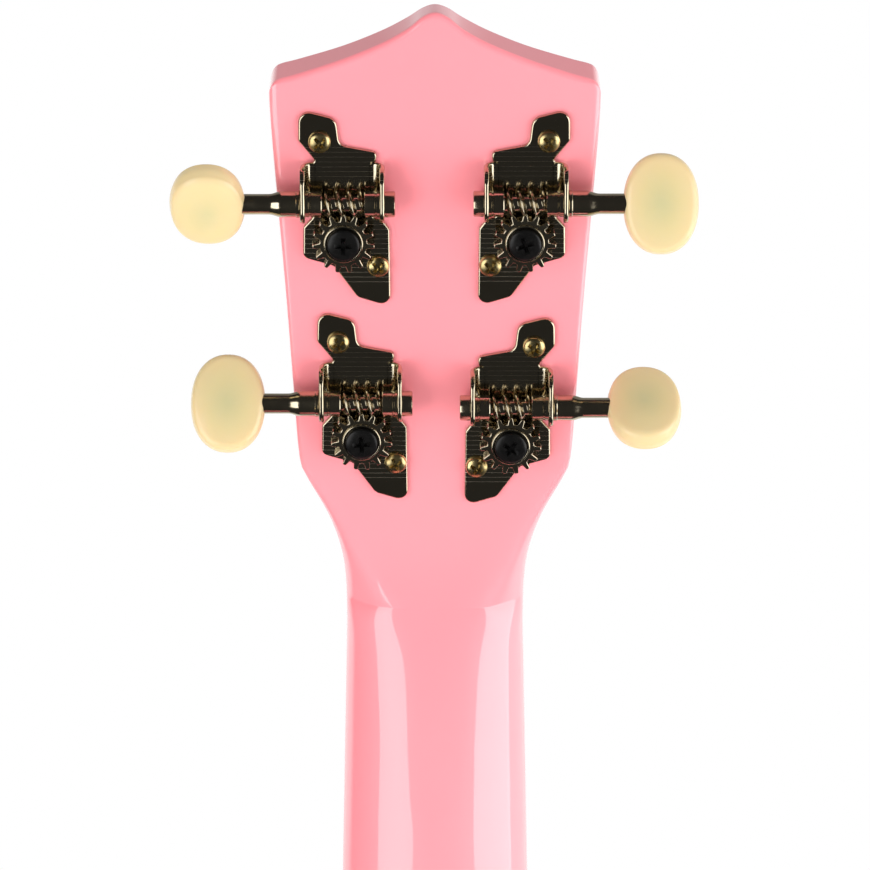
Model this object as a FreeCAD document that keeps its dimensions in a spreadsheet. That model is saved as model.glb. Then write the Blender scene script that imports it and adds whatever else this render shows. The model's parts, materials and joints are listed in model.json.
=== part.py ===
import FreeCAD, Part
import math
import os

# Soprano ukulele. Millimetres. X is width, -Y is the front (strings), +Z runs up the neck.
# The origin is the nut line on the plane where the fingerboard is glued to the neck.

os.makedirs("parts", exist_ok=True)
doc = FreeCAD.newDocument("Ukulele")
vec = FreeCAD.Vector

sizes = {
    # scale and sound box
    "scale_length": 346.0,
    "body_top": -173.0,
    "body_end": -419.0,
    "box_depth": 60.0,
    "plate_thick": 2.0,
    "side_thick": 1.8,
    "joint_half_width": 23.0,
    "hole_radius": 23.5,
    "hole_centre": -250.0,
    "rosette_inner": 26.0,
    "rosette_outer": 30.0,
    "rosette_depth": 0.6,
    "lining_thick": 4.5,
    "lining_height": 7.0,
    "block_half_width": 24.0,
    "block_thick": 15.0,
    "tail_half_width": 20.0,
    "tail_thick": 13.0,
    "brace_width": 6.0,
    "brace_height": 8.0,
    "front_brace_upper": -210.0,
    "front_brace_lower": -284.0,
    "back_brace_upper": -226.0,
    "back_brace_lower": -336.0,
    "patch_width": 70.0,
    "patch_length": 30.0,
    "patch_thick": 2.0,
    # bridge and saddle
    "bridge_width": 64.0,
    "bridge_length": 22.0,
    "bridge_height": 7.0,
    "bridge_top_edge": -340.0,
    "bridge_bevel": 1.5,
    "saddle_line": -347.0,
    "saddle_width": 45.8,
    "saddle_thick": 2.4,
    "saddle_top": 10.25,
    "saddle_slot": 3.0,
    "tie_slot_width": 1.3,
    "tie_slot_depth": 4.6,
    # neck and headstock
    "nut_half_width": 17.7,
    "neck_taper": 0.02,
    "neck_depth": 15.5,
    "neck_depth_heel": 17.5,
    "heel_depth": 58.5,
    "head_tilt": 14.0,
    "head_thick": 13.0,
    "head_edge": 1.2,
    "dowel_radius": 4.0,
    "dowel_length": 24.0,
    # fingerboard, frets, nut
    "board_thick": 4.0,
    "board_end": -176.0,
    "fret_height": 1.0,
    "fret_width": 2.2,
    "tang_width": 0.6,
    "tang_depth": 2.0,
    "dot_radius": 2.5,
    "dot_depth": 1.2,
    "nut_length": 4.5,
    "nut_height": 6.3,
    "nut_spread": 28.0,
    "saddle_spread": 40.0,
    "nut_action": 5.5,
    # tuner plate
    "tuner_plate": 1.0,
    "ear_top": 7.1,
    "ear_thick": 0.95,
    "ear_low": 4.1,
    "ear_high": 15.0,
    "ear_outer_face": 7.3,
    "ear_inner_face": 7.0,
    "bend_radius": 1.4,
    "running_gap": 0.08,
    # worm
    "worm_offset": 7.7,
    "worm_height": 4.1,
    "worm_tip": 2.6,
    "worm_root": 1.6,
    "worm_shaft": 2.35,
    "worm_turns": 3.0,
    "worm_inner_end": 10.0,
    "stem_start": 11.5,
    "stem_end": 15.3,
    "stem_radius": 1.875,
    "stem_tip": 26.5,
    # gear
    "gear_teeth": 15.0,
    "gear_pitch_radius": 5.5,
    "gear_tip": 6.0,
    "gear_root": 4.6,
    "gear_base": 2.2,
    "gear_face": 3.0,
    "hub_radius": 3.96,
    "hub_base": 1.1,
    "hub_top": 5.7,
    "hub_recess": 3.4,
    "recess_floor": 5.3,
    "gear_bore": 2.0,
    # post and bushing
    "post_radius": 3.0,
    "post_reach": 10.5,
    "post_hole": 4.0,
    "bushing_flange": 5.5,
    "flange_thick": 1.0,
    "bushing_length": 8.0,
    "winding_start": 2.4,
    "winding_turns": 3.0,
    # screws
    "gear_screw_head": 3.1,
    "gear_screw_shank": 1.2,
    "plate_screw_head": 2.15,
    "plate_screw_shank": 1.0,
    "plate_screw_length": 7.0,
    # button
    "button_across": 14.5,
    "button_tall": 19.4,
    "button_thick": 6.0,
    "button_edge": 1.3,
    "button_centre": 26.0,
}

sheet = doc.addObject("Spreadsheet::Sheet", "Sizes")
for row, (alias, number) in enumerate(sizes.items(), start=1):
    sheet.set(f"A{row}", alias)
    sheet.set(f"B{row}", str(number))
    sheet.setAlias(f"B{row}", alias)
doc.recompute()


def size(alias):
    return float(sheet.get(alias))


# ---------------------------------------------------------------- helpers

def new_body(label, placement=None):
    body = doc.addObject("PartDesign::Body", label)
    body.Label = label
    if placement:
        body.Placement = placement
    return body


def new_sketch(body, role, edges, height=None):
    origin_planes = body.Origin.OriginFeatures
    plane = next(item for item in origin_planes if item.Role == role)
    sketch = body.newObject("Sketcher::SketchObject", body.Label + "_sketch")
    sketch.AttachmentSupport = (plane, "")
    sketch.MapMode = "FlatFace"
    if height:
        sketch.setExpression("AttachmentOffset.Base.z", height)
    for edge in edges:
        sketch.addGeometry(edge, False)
    return sketch


def pad(body, sketch, length, reverse=False, both=False):
    item = body.newObject("PartDesign::Pad", body.Label + "_pad")
    item.Profile = sketch
    item.Reversed = reverse
    item.Midplane = both
    item.setExpression("Length", length)
    body.Tip = item
    return item


def pocket(body, sketch, length=None, reverse=False, both=False):
    item = body.newObject("PartDesign::Pocket", body.Label + "_pocket")
    item.Profile = sketch
    item.Reversed = reverse
    item.Midplane = both
    if length:
        item.setExpression("Length", length)
    else:
        item.Type = "ThroughAll"
    body.Tip = item
    return item


def revolve(body, sketch):
    item = body.newObject("PartDesign::Revolution", body.Label + "_turned")
    item.Profile = sketch
    item.ReferenceAxis = (sketch, ["V_Axis"])
    item.Angle = 360
    body.Tip = item
    return item


def circle(x, y, radius):
    return Part.Circle(vec(x, y, 0), vec(0, 0, 1), radius)


def loop(points):
    edges = []
    for here, there in zip(points, points[1:] + points[:1]):
        edges.append(Part.LineSegment(vec(*here, 0), vec(*there, 0)))
    return edges


def rounded_loop(corners):
    """corners: (x, y, radius) in order; radius 0 keeps the corner sharp."""
    count = len(corners)
    pieces = []
    for index in range(count):
        here = vec(corners[index][0], corners[index][1], 0)
        before = vec(corners[index - 1][0], corners[index - 1][1], 0)
        after_corner = corners[(index + 1) % count]
        after = vec(after_corner[0], after_corner[1], 0)
        radius = corners[index][2]
        to_before = (before - here).normalize()
        to_after = (after - here).normalize()
        if radius == 0:
            pieces.append((here, None, here))
            continue
        half = to_before.getAngle(to_after) / 2
        reach = radius / math.tan(half)
        centre = here + (to_before + to_after).normalize() * (radius / math.sin(half))
        middle = centre + (here - centre).normalize() * radius
        pieces.append((here + to_before * reach, middle, here + to_after * reach))
    edges = []
    for index, (start, middle, end) in enumerate(pieces):
        if middle:
            edges.append(Part.Arc(start, middle, end))
        following = pieces[(index + 1) % count][0]
        edges.append(Part.LineSegment(end, following))
    return edges


def feature(label, shape, placement=None):
    item = doc.addObject("Part::Feature", label)
    item.Label = label
    item.Shape = shape
    if placement:
        item.Placement = placement
    return item


def face_of(edges):
    shapes = [edge.toShape() for edge in edges]
    return Part.Face(Part.Wire(Part.__sortEdges__(shapes)))


def rod(start, end, radius):
    along = end - start
    return Part.makeCylinder(radius, along.Length, start, along)


def box(low, high):
    span = high - low
    return Part.makeBox(span.x, span.y, span.z, low)


def single(shape):
    """The one solid inside a boolean result."""
    return shape.Solids[0] if len(shape.Solids) == 1 else shape


# ---------------------------------------------------------------- headstock frame

tilt = math.radians(size("head_tilt"))
up = vec(0, math.sin(tilt), math.cos(tilt))
back = vec(0, math.cos(tilt), -math.sin(tilt))
# x to the player's side of the back view, y up the headstock, z out of its back face
back_frame = FreeCAD.Placement(back * size("head_thick"), FreeCAD.Rotation(vec(-1, 0, 0), up, back, "ZXY"))
front_frame = FreeCAD.Placement(vec(0, 0, 0), FreeCAD.Rotation(vec(1, 0, 0), up, back * -1, "ZXY"))


def shifted(frame, x, y, z=0.0, rotation=None):
    return frame.multiply(FreeCAD.Placement(vec(x, y, z), rotation or FreeCAD.Rotation()))


# One entry per string: post position seen from the back, side of the headstock,
# string radius, place in the row of strings and the way its button faces.
tuners = {
    "g": {"x": 14.8, "u": 38.2, "side": -1, "radius": 0.34, "row": -1.5, "turn": 65.0},
    "c": {"x": 17.3, "u": 80.4, "side": -1, "radius": 0.45, "row": -0.5, "turn": 20.0},
    "e": {"x": -17.6, "u": 80.3, "side": 1, "radius": 0.40, "row": 0.5, "turn": -28.0},
    "a": {"x": -14.35, "u": 39.1, "side": 1, "radius": 0.30, "row": 1.5, "turn": 32.0},
}
plate_screw_spots = [(-4.5, 19.3), (6.6, -6.0)]


# ---------------------------------------------------------------- sound box

def half_outline():
    bouts = [
        (30.5, -173.9), (40.5, -177.4), (51.5, -186.5), (60.3, -202.0), (63.5, -221.0), (61.3, -240.0),
        (56.2, -256.0), (54.0, -271.0), (56.6, -287.0), (64.4, -303.5), (74.0, -320.0),
        (81.0, -338.0), (82.5, -354.0), (79.5, -374.0), (70.5, -392.5), (56.0, -406.5),
        (34.0, -416.0),
    ]
    start = (size("joint_half_width"), size("body_top"))
    end = (0.0, size("body_end"))
    return [start] + bouts + [end]


def outline_edges():
    right = half_outline()
    left = [(-x, z) for x, z in reversed(right[:-1])]
    curve = Part.BSplineCurve()
    curve.interpolate([vec(x, z, 0) for x, z in right + left])
    half = size("joint_half_width")
    joint = Part.LineSegment(vec(-half, size("body_top"), 0), vec(half, size("body_top"), 0))
    return [curve, joint]


def inset_edges(inset):
    """The outline moved inwards, rebuilt from points along it."""
    curve, joint = outline_edges()
    first = curve.FirstParameter
    span = curve.LastParameter - first
    steps = 56
    points = []
    for step in range(steps + 1):
        parameter = first + span * step / steps
        along = curve.tangent(parameter)[0]
        points.append(curve.value(parameter) + vec(along.y, -along.x, 0) * inset)
    inner = Part.BSplineCurve()
    inner.interpolate(points)
    return [inner, Part.LineSegment(points[-1], points[0])]


def inner_region(inset, low, high):
    """The outline shrunk by inset, as a block between two depths."""
    face = face_of(inset_edges(inset) if inset else outline_edges())
    face.rotate(vec(0, 0, 0), vec(1, 0, 0), 90)
    face.translate(vec(0, low, 0))
    return face.extrude(vec(0, high - low, 0))


plate = size("plate_thick")
depth = size("box_depth")
side = size("side_thick")

soundboard = new_body("soundboard")
pad(soundboard, new_sketch(soundboard, "XZ_Plane", outline_edges()), "Sizes.plate_thick", reverse=True)
hole_sketch = new_sketch(soundboard, "XZ_Plane", [circle(0, size("hole_centre"), size("hole_radius"))])
pocket(soundboard, hole_sketch)
ring = [
    circle(0, size("hole_centre"), size("rosette_inner")),
    circle(0, size("hole_centre"), size("rosette_outer")),
]
pocket(soundboard, new_sketch(soundboard, "XZ_Plane", ring), "Sizes.rosette_depth")

rosette = new_body("rosette")
pad(rosette, new_sketch(rosette, "XZ_Plane", ring), "Sizes.rosette_depth", reverse=True)

back_plate = new_body("back_plate")
back_sketch = new_sketch(back_plate, "XZ_Plane", outline_edges(), "-Sizes.box_depth")
pad(back_plate, back_sketch, "Sizes.plate_thick")

dowel_y = size("neck_depth_heel") - 3.5
dowel_top = size("body_top") + 12.0
dowel = rod(vec(0, dowel_y, dowel_top), vec(0, dowel_y, dowel_top - size("dowel_length")), size("dowel_radius"))
feature("neck_dowel", dowel)

shell = inner_region(0, plate, depth - plate).cut(inner_region(side, plate, depth - plate)).cut(dowel)
far = 500.0
feature("side_left", single(shell.common(box(vec(-far, 0, -far), vec(0, far, far)))))
feature("side_right", single(shell.common(box(vec(0, 0, -far), vec(far, far, far)))))

cavity = inner_region(side, plate, depth - plate)
block_low = size("body_top") - side - size("block_thick")
block_half = size("block_half_width")
block_space = box(vec(-block_half, 0, block_low), vec(block_half, depth, 0))
feature("neck_block", single(cavity.common(block_space).cut(dowel)))

tail_half = size("tail_half_width")
tail_top = size("body_end") + size("tail_thick")
tail_space = box(vec(-tail_half, 0, -far), vec(tail_half, depth, tail_top))
feature("tail_block", single(cavity.common(tail_space)))

lining_tall = size("lining_height")
for label, low in (("front_linings", plate), ("back_linings", depth - plate - lining_tall)):
    strip = inner_region(side, low, low + lining_tall)
    strip = strip.cut(inner_region(side + size("lining_thick"), low, low + lining_tall))
    feature(label, strip.cut(block_space).cut(tail_space))

braces = {
    "soundboard_brace_upper": ("front_brace_upper", plate),
    "soundboard_brace_lower": ("front_brace_lower", plate),
    "back_brace_upper": ("back_brace_upper", depth - plate - size("brace_height")),
    "back_brace_lower": ("back_brace_lower", depth - plate - size("brace_height")),
}
for label, (station, low) in braces.items():
    middle = size(station)
    half = size("brace_width") / 2
    bar = box(vec(-far, low, middle - half), vec(far, low + size("brace_height"), middle + half))
    room = inner_region(side + size("lining_thick") + 0.5, low, low + size("brace_height"))
    feature(label, single(bar.common(room)))

patch = doc.addObject("Part::Box", "bridge_patch")
patch.Label = "bridge_patch"
patch.setExpression("Length", "Sizes.patch_width")
patch.setExpression("Width", "Sizes.patch_thick")
patch.setExpression("Height", "Sizes.patch_length")
patch.setExpression("Placement.Base.x", "-Sizes.patch_width / 2")
patch.setExpression("Placement.Base.y", "Sizes.plate_thick")
patch.setExpression("Placement.Base.z", "Sizes.saddle_line - Sizes.patch_length / 2 - 4")


# ---------------------------------------------------------------- strings: where they run

def string_x(tuner, spread):
    return tuner["row"] * size(spread) / 3


def string_path(tuner):
    """Points from the knot behind the bridge to the tangent point on the post."""
    radius = tuner["radius"]
    x_saddle = string_x(tuner, "saddle_spread")
    x_nut = string_x(tuner, "nut_spread")
    bridge_rear = size("bridge_top_edge") - size("bridge_length")
    knot = vec(x_saddle, -3.3, bridge_rear - 1.5)
    saddle = vec(x_saddle, -size("saddle_top") - radius - 0.02, size("saddle_line"))
    nut_front = vec(x_nut, -size("nut_action") - radius, 0)
    wrap = size("post_radius") + radius + 0.03
    lift = size("winding_start")
    post = vec(-tuner["x"], tuner["u"], 0)
    slope = 0.285
    nut_back = nut_front + vec(0, slope, 1) * size("nut_length")
    seen = front_frame.inverse().multVec(nut_back)
    away = vec(seen.x, seen.y, 0) - post
    swing = math.acos(wrap / away.Length)
    bearing = math.atan2(away.y, away.x)
    # the string meets the post on the side nearest the centre line
    angle = bearing - tuner["side"] * swing
    touch = post + vec(math.cos(angle), math.sin(angle), 0) * wrap
    landing = front_frame.multVec(vec(touch.x, touch.y, lift))
    return knot, saddle, nut_front, nut_back, landing, angle


# ---------------------------------------------------------------- bridge and saddle

bridge_top = size("bridge_top_edge")
bridge_low = bridge_top - size("bridge_length")
bridge_half = size("bridge_width") / 2
corner = 3.0
bridge_corners = [
    (-bridge_half, bridge_low, corner), (bridge_half, bridge_low, corner),
    (bridge_half, bridge_top, corner), (-bridge_half, bridge_top, corner),
]
bridge = new_body("bridge")
bridge_pad = pad(bridge, new_sketch(bridge, "XZ_Plane", rounded_loop(bridge_corners)), "Sizes.bridge_height")
doc.recompute()
bevel = bridge.newObject("PartDesign::Chamfer", "bridge_bevel")
top_face = next(
    f"Face{index}" for index, face in enumerate(bridge_pad.Shape.Faces, start=1)
    if abs(face.CenterOfMass.y + size("bridge_height")) < 1e-6
)
bevel.Base = (bridge_pad, [top_face])
bevel.setExpression("Size", "Sizes.bridge_bevel")
bridge.Tip = bevel

slot_half_x = size("saddle_width") / 2 + 0.1
slot_half_z = size("saddle_thick") / 2 + 0.05
slot_loop = loop([
    (-slot_half_x, size("saddle_line") - slot_half_z), (slot_half_x, size("saddle_line") - slot_half_z),
    (slot_half_x, size("saddle_line") + slot_half_z), (-slot_half_x, size("saddle_line") + slot_half_z),
])
pocket(bridge, new_sketch(bridge, "XZ_Plane", slot_loop, "Sizes.bridge_height"), "Sizes.saddle_slot")
ties = []
for tuner in tuners.values():
    middle = string_x(tuner, "saddle_spread")
    half = size("tie_slot_width") / 2
    low = bridge_low - 1.0
    high = size("saddle_line") - slot_half_z - 2.0
    ties += loop([(middle - half, low), (middle + half, low), (middle + half, high), (middle - half, high)])
pocket(bridge, new_sketch(bridge, "XZ_Plane", ties, "Sizes.bridge_height"), "Sizes.tie_slot_depth")

saddle = new_body("saddle")
saddle_half = size("saddle_thick") / 2
saddle_base = -size("bridge_height") + size("saddle_slot")
crest = -size("saddle_top")
saddle_loop = loop([
    (saddle_base, size("saddle_line") - saddle_half),
    (saddle_base, size("saddle_line") + saddle_half),
    (crest + 0.03, size("saddle_line") + saddle_half),
    (crest, size("saddle_line")),
    (crest + 0.8, size("saddle_line") - saddle_half),
])
pad(saddle, new_sketch(saddle, "YZ_Plane", saddle_loop), "Sizes.saddle_width", both=True)


# ---------------------------------------------------------------- neck with headstock

def neck_half(z):
    return size("nut_half_width") - size("neck_taper") * z


def neck_section(z, half, deep, fullness=1.0):
    """Flat front, round back."""
    steps = 12
    points = []
    for step in range(steps + 1):
        angle = math.pi * step / steps
        across = math.copysign(abs(math.cos(angle)) ** fullness, math.cos(angle))
        points.append(vec(half * across, deep * math.sin(angle) ** (0.9 * fullness), z))
    curve = Part.BSplineCurve()
    curve.interpolate(points)
    front = Part.LineSegment(points[-1], points[0])
    return Part.Wire([curve.toShape(), front.toShape()])


def head_outline():
    """Half outline up to the crown: (half width, distance up the headstock)."""
    flare = [
        (17.7, -6.0), (17.8, -1.6), (18.0, 2.8), (18.2, 7.2), (18.8, 11.6),
        (20.0, 15.9), (21.5, 20.2), (23.6, 24.6), (25.7, 28.9), (26.8, 33.1),
    ]
    flank = [(27.7, 45.9), (29.0, 66.8), (30.5, 87.4), (31.6, 103.6), (31.8, 108.6)]
    crown = [(29.4, 111.6), (22.4, 113.8), (15.0, 116.6), (9.0, 119.4), (4.2, 122.6), (0.0, 125.2)]
    return flare, flank, crown


def head_face():
    edges = []
    for sign in (1, -1):
        for stretch in head_stretches():
            curve = Part.BSplineCurve()
            curve.interpolate([vec(sign * x, u, 0) for x, u in stretch])
            edges.append(curve)
    edges.append(Part.LineSegment(vec(-17.7, -6.0, 0), vec(17.7, -6.0, 0)))
    return face_of(edges)


def head_stretches():
    flare, flank, crown = head_outline()
    side_run = flare[-1:] + flank
    crown_run = flank[-1:] + crown
    return flare, side_run, crown_run


slab = head_face().extrude(vec(0, 0, -size("head_thick")))
crown_rims = []
for edge in slab.Edges:
    bounds = edge.BoundBox
    level = bounds.ZLength < 1e-6
    if level and bounds.YMax > 40.0:
        crown_rims.append(edge)
try:
    slab = slab.makeFillet(size("head_edge"), crown_rims)
except Part.OCCError:
    slab = slab.makeChamfer(size("head_edge") * 0.6, crown_rims)
slab.Placement = back_frame
for sign in (1, -1):
    shoulder = up * 33.0 + back * size("head_thick") + vec(sign * 26.9, 0, 0)
    inner = up * 7.0 + back * size("head_thick") + vec(sign * 10.0, 0, 0)
    low_side = vec(sign * 17.7, 3.0, -6.0)
    normal = (inner - shoulder).cross(low_side - shoulder).normalize()
    if normal.y < 0:
        normal = normal * -1
    wedge = Part.makeBox(120, 120, 60, vec(-60, -60, 0))
    wedge.Placement = FreeCAD.Placement(inner, FreeCAD.Rotation(vec(0, 0, 1), normal))
    slab = slab.cut(wedge)

shaft_top = 14.0
heel_start = -136.0
deep_start = size("neck_depth_heel")
shaft = Part.makeLoft([
    neck_section(shaft_top, neck_half(0) + 0.1, size("neck_depth")),
    neck_section(heel_start, neck_half(heel_start), deep_start),
], True, True)
heel_depths = [
    (heel_start, deep_start, 1.0), (-146.0, deep_start + 0.8, 0.99), (-156.0, 21.5, 0.97), (-163.5, 29.0, 0.93),
    (-168.5, 39.0, 0.89), (-171.5, 50.0, 0.86), (size("body_top"), size("heel_depth"), 0.84),
]
heel = Part.makeLoft([neck_section(z, neck_half(z), deep, full) for z, deep, full in heel_depths], True, False)
neck_shape = shaft.fuse([slab, heel]).removeSplitter()
far_up = up * 200.0
front_waste = Part.Face(Part.makePolygon([
    vec(-60, 0, -200), vec(-60, 0, 0), vec(-60, far_up.y, far_up.z),
    vec(-60, -100, far_up.z), vec(-60, -100, -200), vec(-60, 0, -200),
])).extrude(vec(120, 0, 0))
neck_shape = neck_shape.cut(front_waste)
neck_shape = neck_shape.cut(dowel)
for tuner in tuners.values():
    spot = shifted(back_frame, tuner["x"], tuner["u"])
    bore = rod(vec(0, 0, 2), vec(0, 0, -size("head_thick") - 2), size("post_hole"))
    bore.Placement = spot
    neck_shape = neck_shape.cut(bore)
    for x, y in plate_screw_spots:
        pilot = rod(vec(0, 0, 1), vec(0, 0, 1.0 - size("plate_screw_length") - 1.2), size("plate_screw_shank"))
        pilot.Placement = shifted(back_frame, tuner["x"] + tuner["side"] * x, tuner["u"] + y)
        neck_shape = neck_shape.cut(pilot)
feature("neck", single(neck_shape))


# ---------------------------------------------------------------- fingerboard, frets, dots

def fret_line(number):
    return -size("scale_length") * (1 - 2 ** (-number / 12))


board_end = size("board_end")
board = new_body("fingerboard")
board_loop = loop([
    (-neck_half(0), 0), (neck_half(0), 0),
    (neck_half(board_end), board_end), (-neck_half(board_end), board_end),
])
pad(board, new_sketch(board, "XZ_Plane", board_loop), "Sizes.board_thick")
slots = []
for number in range(1, 13):
    z = fret_line(number)
    half = size("tang_width") / 2
    slots += loop([(-25, z - half), (25, z - half), (25, z + half), (-25, z + half)])
pocket(board, new_sketch(board, "XZ_Plane", slots, "Sizes.board_thick"), "Sizes.tang_depth")
dots = []
for number in (5, 7, 10):
    z = (fret_line(number) + fret_line(number - 1)) / 2
    dots.append(circle(0, z, size("dot_radius")))
pocket(board, new_sketch(board, "XZ_Plane", dots, "Sizes.board_thick"), "Sizes.dot_depth")
markers = new_body("position_dots")
pad(markers, new_sketch(markers, "XZ_Plane", dots, "Sizes.board_thick - Sizes.dot_depth"), "Sizes.dot_depth")

frets = []
surface = -size("board_thick")
for number in range(1, 13):
    z = fret_line(number)
    half = neck_half(z) - 0.2
    wide = size("fret_width") / 2
    crown_arc = Part.Arc(
        vec(-half, surface, z - wide), vec(-half, surface - size("fret_height"), z), vec(-half, surface, z + wide))
    sole = Part.LineSegment(vec(-half, surface, z + wide), vec(-half, surface, z - wide))
    crown_face = Part.Face(Part.Wire([crown_arc.toShape(), sole.toShape()]))
    bar = crown_face.extrude(vec(2 * half, 0, 0))
    thin = size("tang_width") / 2
    tang = box(vec(-half, surface, z - thin), vec(half, surface + size("tang_depth"), z + thin))
    frets.append(bar.fuse(tang).removeSplitter().Solids[0])
feature("frets", Part.makeCompound(frets))

nut = new_body("nut")
nut_rear = size("nut_length")
nut_loop = loop([
    (0, 0), (-size("nut_height"), 0), (-size("nut_height") + 1.3, nut_rear), (nut_rear * math.tan(tilt), nut_rear),
])
pad(nut, new_sketch(nut, "YZ_Plane", nut_loop), "2 * Sizes.nut_half_width", both=True)
for name, tuner in tuners.items():
    points = string_path(tuner)
    drop = tuner["radius"] + 0.02
    run = (points[3] - points[2]).normalize()
    start = points[2] + vec(0, drop, 0) - run * 1.0
    end = points[3] + vec(0, drop, 0) + run * 1.0
    slit = loop([(start.y, start.z), (end.y, end.z), (-9.0, end.z), (-9.0, start.z)])
    sketch = new_sketch(nut, "YZ_Plane", slit)
    sketch.AttachmentOffset = FreeCAD.Placement(vec(0, 0, points[2].x), FreeCAD.Rotation())
    cut = pocket(nut, sketch, "1 mm", both=True)
    cut.setExpression("Length", f"{2 * tuner['radius'] + 0.1} mm")


# ---------------------------------------------------------------- tuning machines

def tuner_plate(label, tuner):
    """Flat plate with two ears bent up to carry the worm."""
    flip = tuner["side"]
    body = new_body(label, shifted(back_frame, tuner["x"], tuner["u"]))
    corners = [
        (-8.5, 25.6, 2.0), (-1.3, 23.7, 2.2), (-0.7, 18.4, 1.8), (6.6, 17.0, 1.0), (6.2, 15.0, 0.4),
        (5.6, 15.0, 0), (5.6, 4.1, 0), (6.0, 3.7, 0.4), (7.3, 3.5, 0.6), (8.85, 1.4, 0.7), (9.0, -14.6, 1.8),
        (2.6, -12.6, 2.0), (-1.9, -6.2, 1.6), (-7.9, -4.4, 1.4), (-7.8, 1.8, 0.7), (-6.2, 3.6, 0.5),
        (-5.9, 4.1, 0), (-5.9, 15.0, 0), (-5.4, 15.4, 0.4), (-8.6, 19.4, 1.2),
    ]
    outline = [(flip * x, y, radius) for x, y, radius in corners]
    pad(body, new_sketch(body, "XY_Plane", rounded_loop(outline)), "Sizes.tuner_plate")
    thick = size("ear_thick")
    sheet_thick = size("tuner_plate")
    bend = size("bend_radius")
    for sign, face in ((-1, size("ear_outer_face")), (1, size("ear_inner_face"))):
        centre_x = face - bend
        centre_z = sheet_thick + bend
        turn = flip * sign
        diag = math.sqrt(0.5)
        outer = bend + thick
        top = size("ear_top")
        ear = [
            Part.LineSegment(vec(turn * (centre_x - 0.6), 0, 0), vec(turn * centre_x, 0, 0)),
            Part.Arc(vec(turn * centre_x, 0, 0),
                     vec(turn * (centre_x + outer * diag), centre_z - (bend + sheet_thick) * diag, 0),
                     vec(turn * (face + thick), centre_z, 0)),
            Part.LineSegment(vec(turn * (face + thick), centre_z, 0), vec(turn * (face + thick), top, 0)),
            Part.LineSegment(vec(turn * (face + thick), top, 0), vec(turn * face, top, 0)),
            Part.LineSegment(vec(turn * face, top, 0), vec(turn * face, centre_z, 0)),
            Part.Arc(vec(turn * face, centre_z, 0),
                     vec(turn * (centre_x + bend * diag), centre_z - bend * diag, 0),
                     vec(turn * centre_x, sheet_thick, 0)),
            Part.LineSegment(vec(turn * centre_x, sheet_thick, 0), vec(turn * (centre_x - 0.6), sheet_thick, 0)),
            Part.LineSegment(vec(turn * (centre_x - 0.6), sheet_thick, 0), vec(turn * (centre_x - 0.6), 0, 0)),
        ]
        sketch = new_sketch(body, "XZ_Plane", ear, "-Sizes.ear_low")
        pad(body, sketch, "Sizes.ear_high - Sizes.ear_low", reverse=True)
    # round the ears' upper corners and drill them for the shaft
    worm_y = size("worm_offset")
    worm_z = size("worm_height")
    low = size("ear_low")
    high = size("ear_high")
    top = size("ear_top")
    near = 2.6
    wide = 4.6
    corner_cuts = [
        Part.LineSegment(vec(low - 1, top - near, 0), vec(low, top - near, 0)),
        Part.Arc(vec(low, top - near, 0), vec(low + near * (1 - math.sqrt(0.5)), top - near * (1 - math.sqrt(0.5)), 0),
                 vec(low + near, top, 0)),
        Part.LineSegment(vec(low + near, top, 0), vec(low + near, top + 1, 0)),
        Part.LineSegment(vec(low + near, top + 1, 0), vec(low - 1, top + 1, 0)),
        Part.LineSegment(vec(low - 1, top + 1, 0), vec(low - 1, top - near, 0)),
        Part.LineSegment(vec(high + 1, top - wide, 0), vec(high, top - wide, 0)),
        Part.Arc(vec(high, top - wide, 0), vec(high - wide * (1 - math.sqrt(0.5)), top - wide * (1 - math.sqrt(0.5)), 0),
                 vec(high - wide, top, 0)),
        Part.LineSegment(vec(high - wide, top, 0), vec(high - wide, top + 1, 0)),
        Part.LineSegment(vec(high - wide, top + 1, 0), vec(high + 1, top + 1, 0)),
        Part.LineSegment(vec(high + 1, top + 1, 0), vec(high + 1, top - wide, 0)),
    ]
    pocket(body, new_sketch(body, "YZ_Plane", corner_cuts), "40 mm", both=True)
    shaft_hole = circle(worm_y, worm_z, size("worm_shaft") + size("running_gap"))
    pocket(body, new_sketch(body, "YZ_Plane", [shaft_hole]), "40 mm", both=True)
    holes = [circle(0, 0, size("post_radius") + size("running_gap"))]
    for x, y in plate_screw_spots:
        holes.append(circle(flip * x, y, size("plate_screw_shank") + 0.15))
    pocket(body, new_sketch(body, "XY_Plane", holes), reverse=True)
    return body


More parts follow.
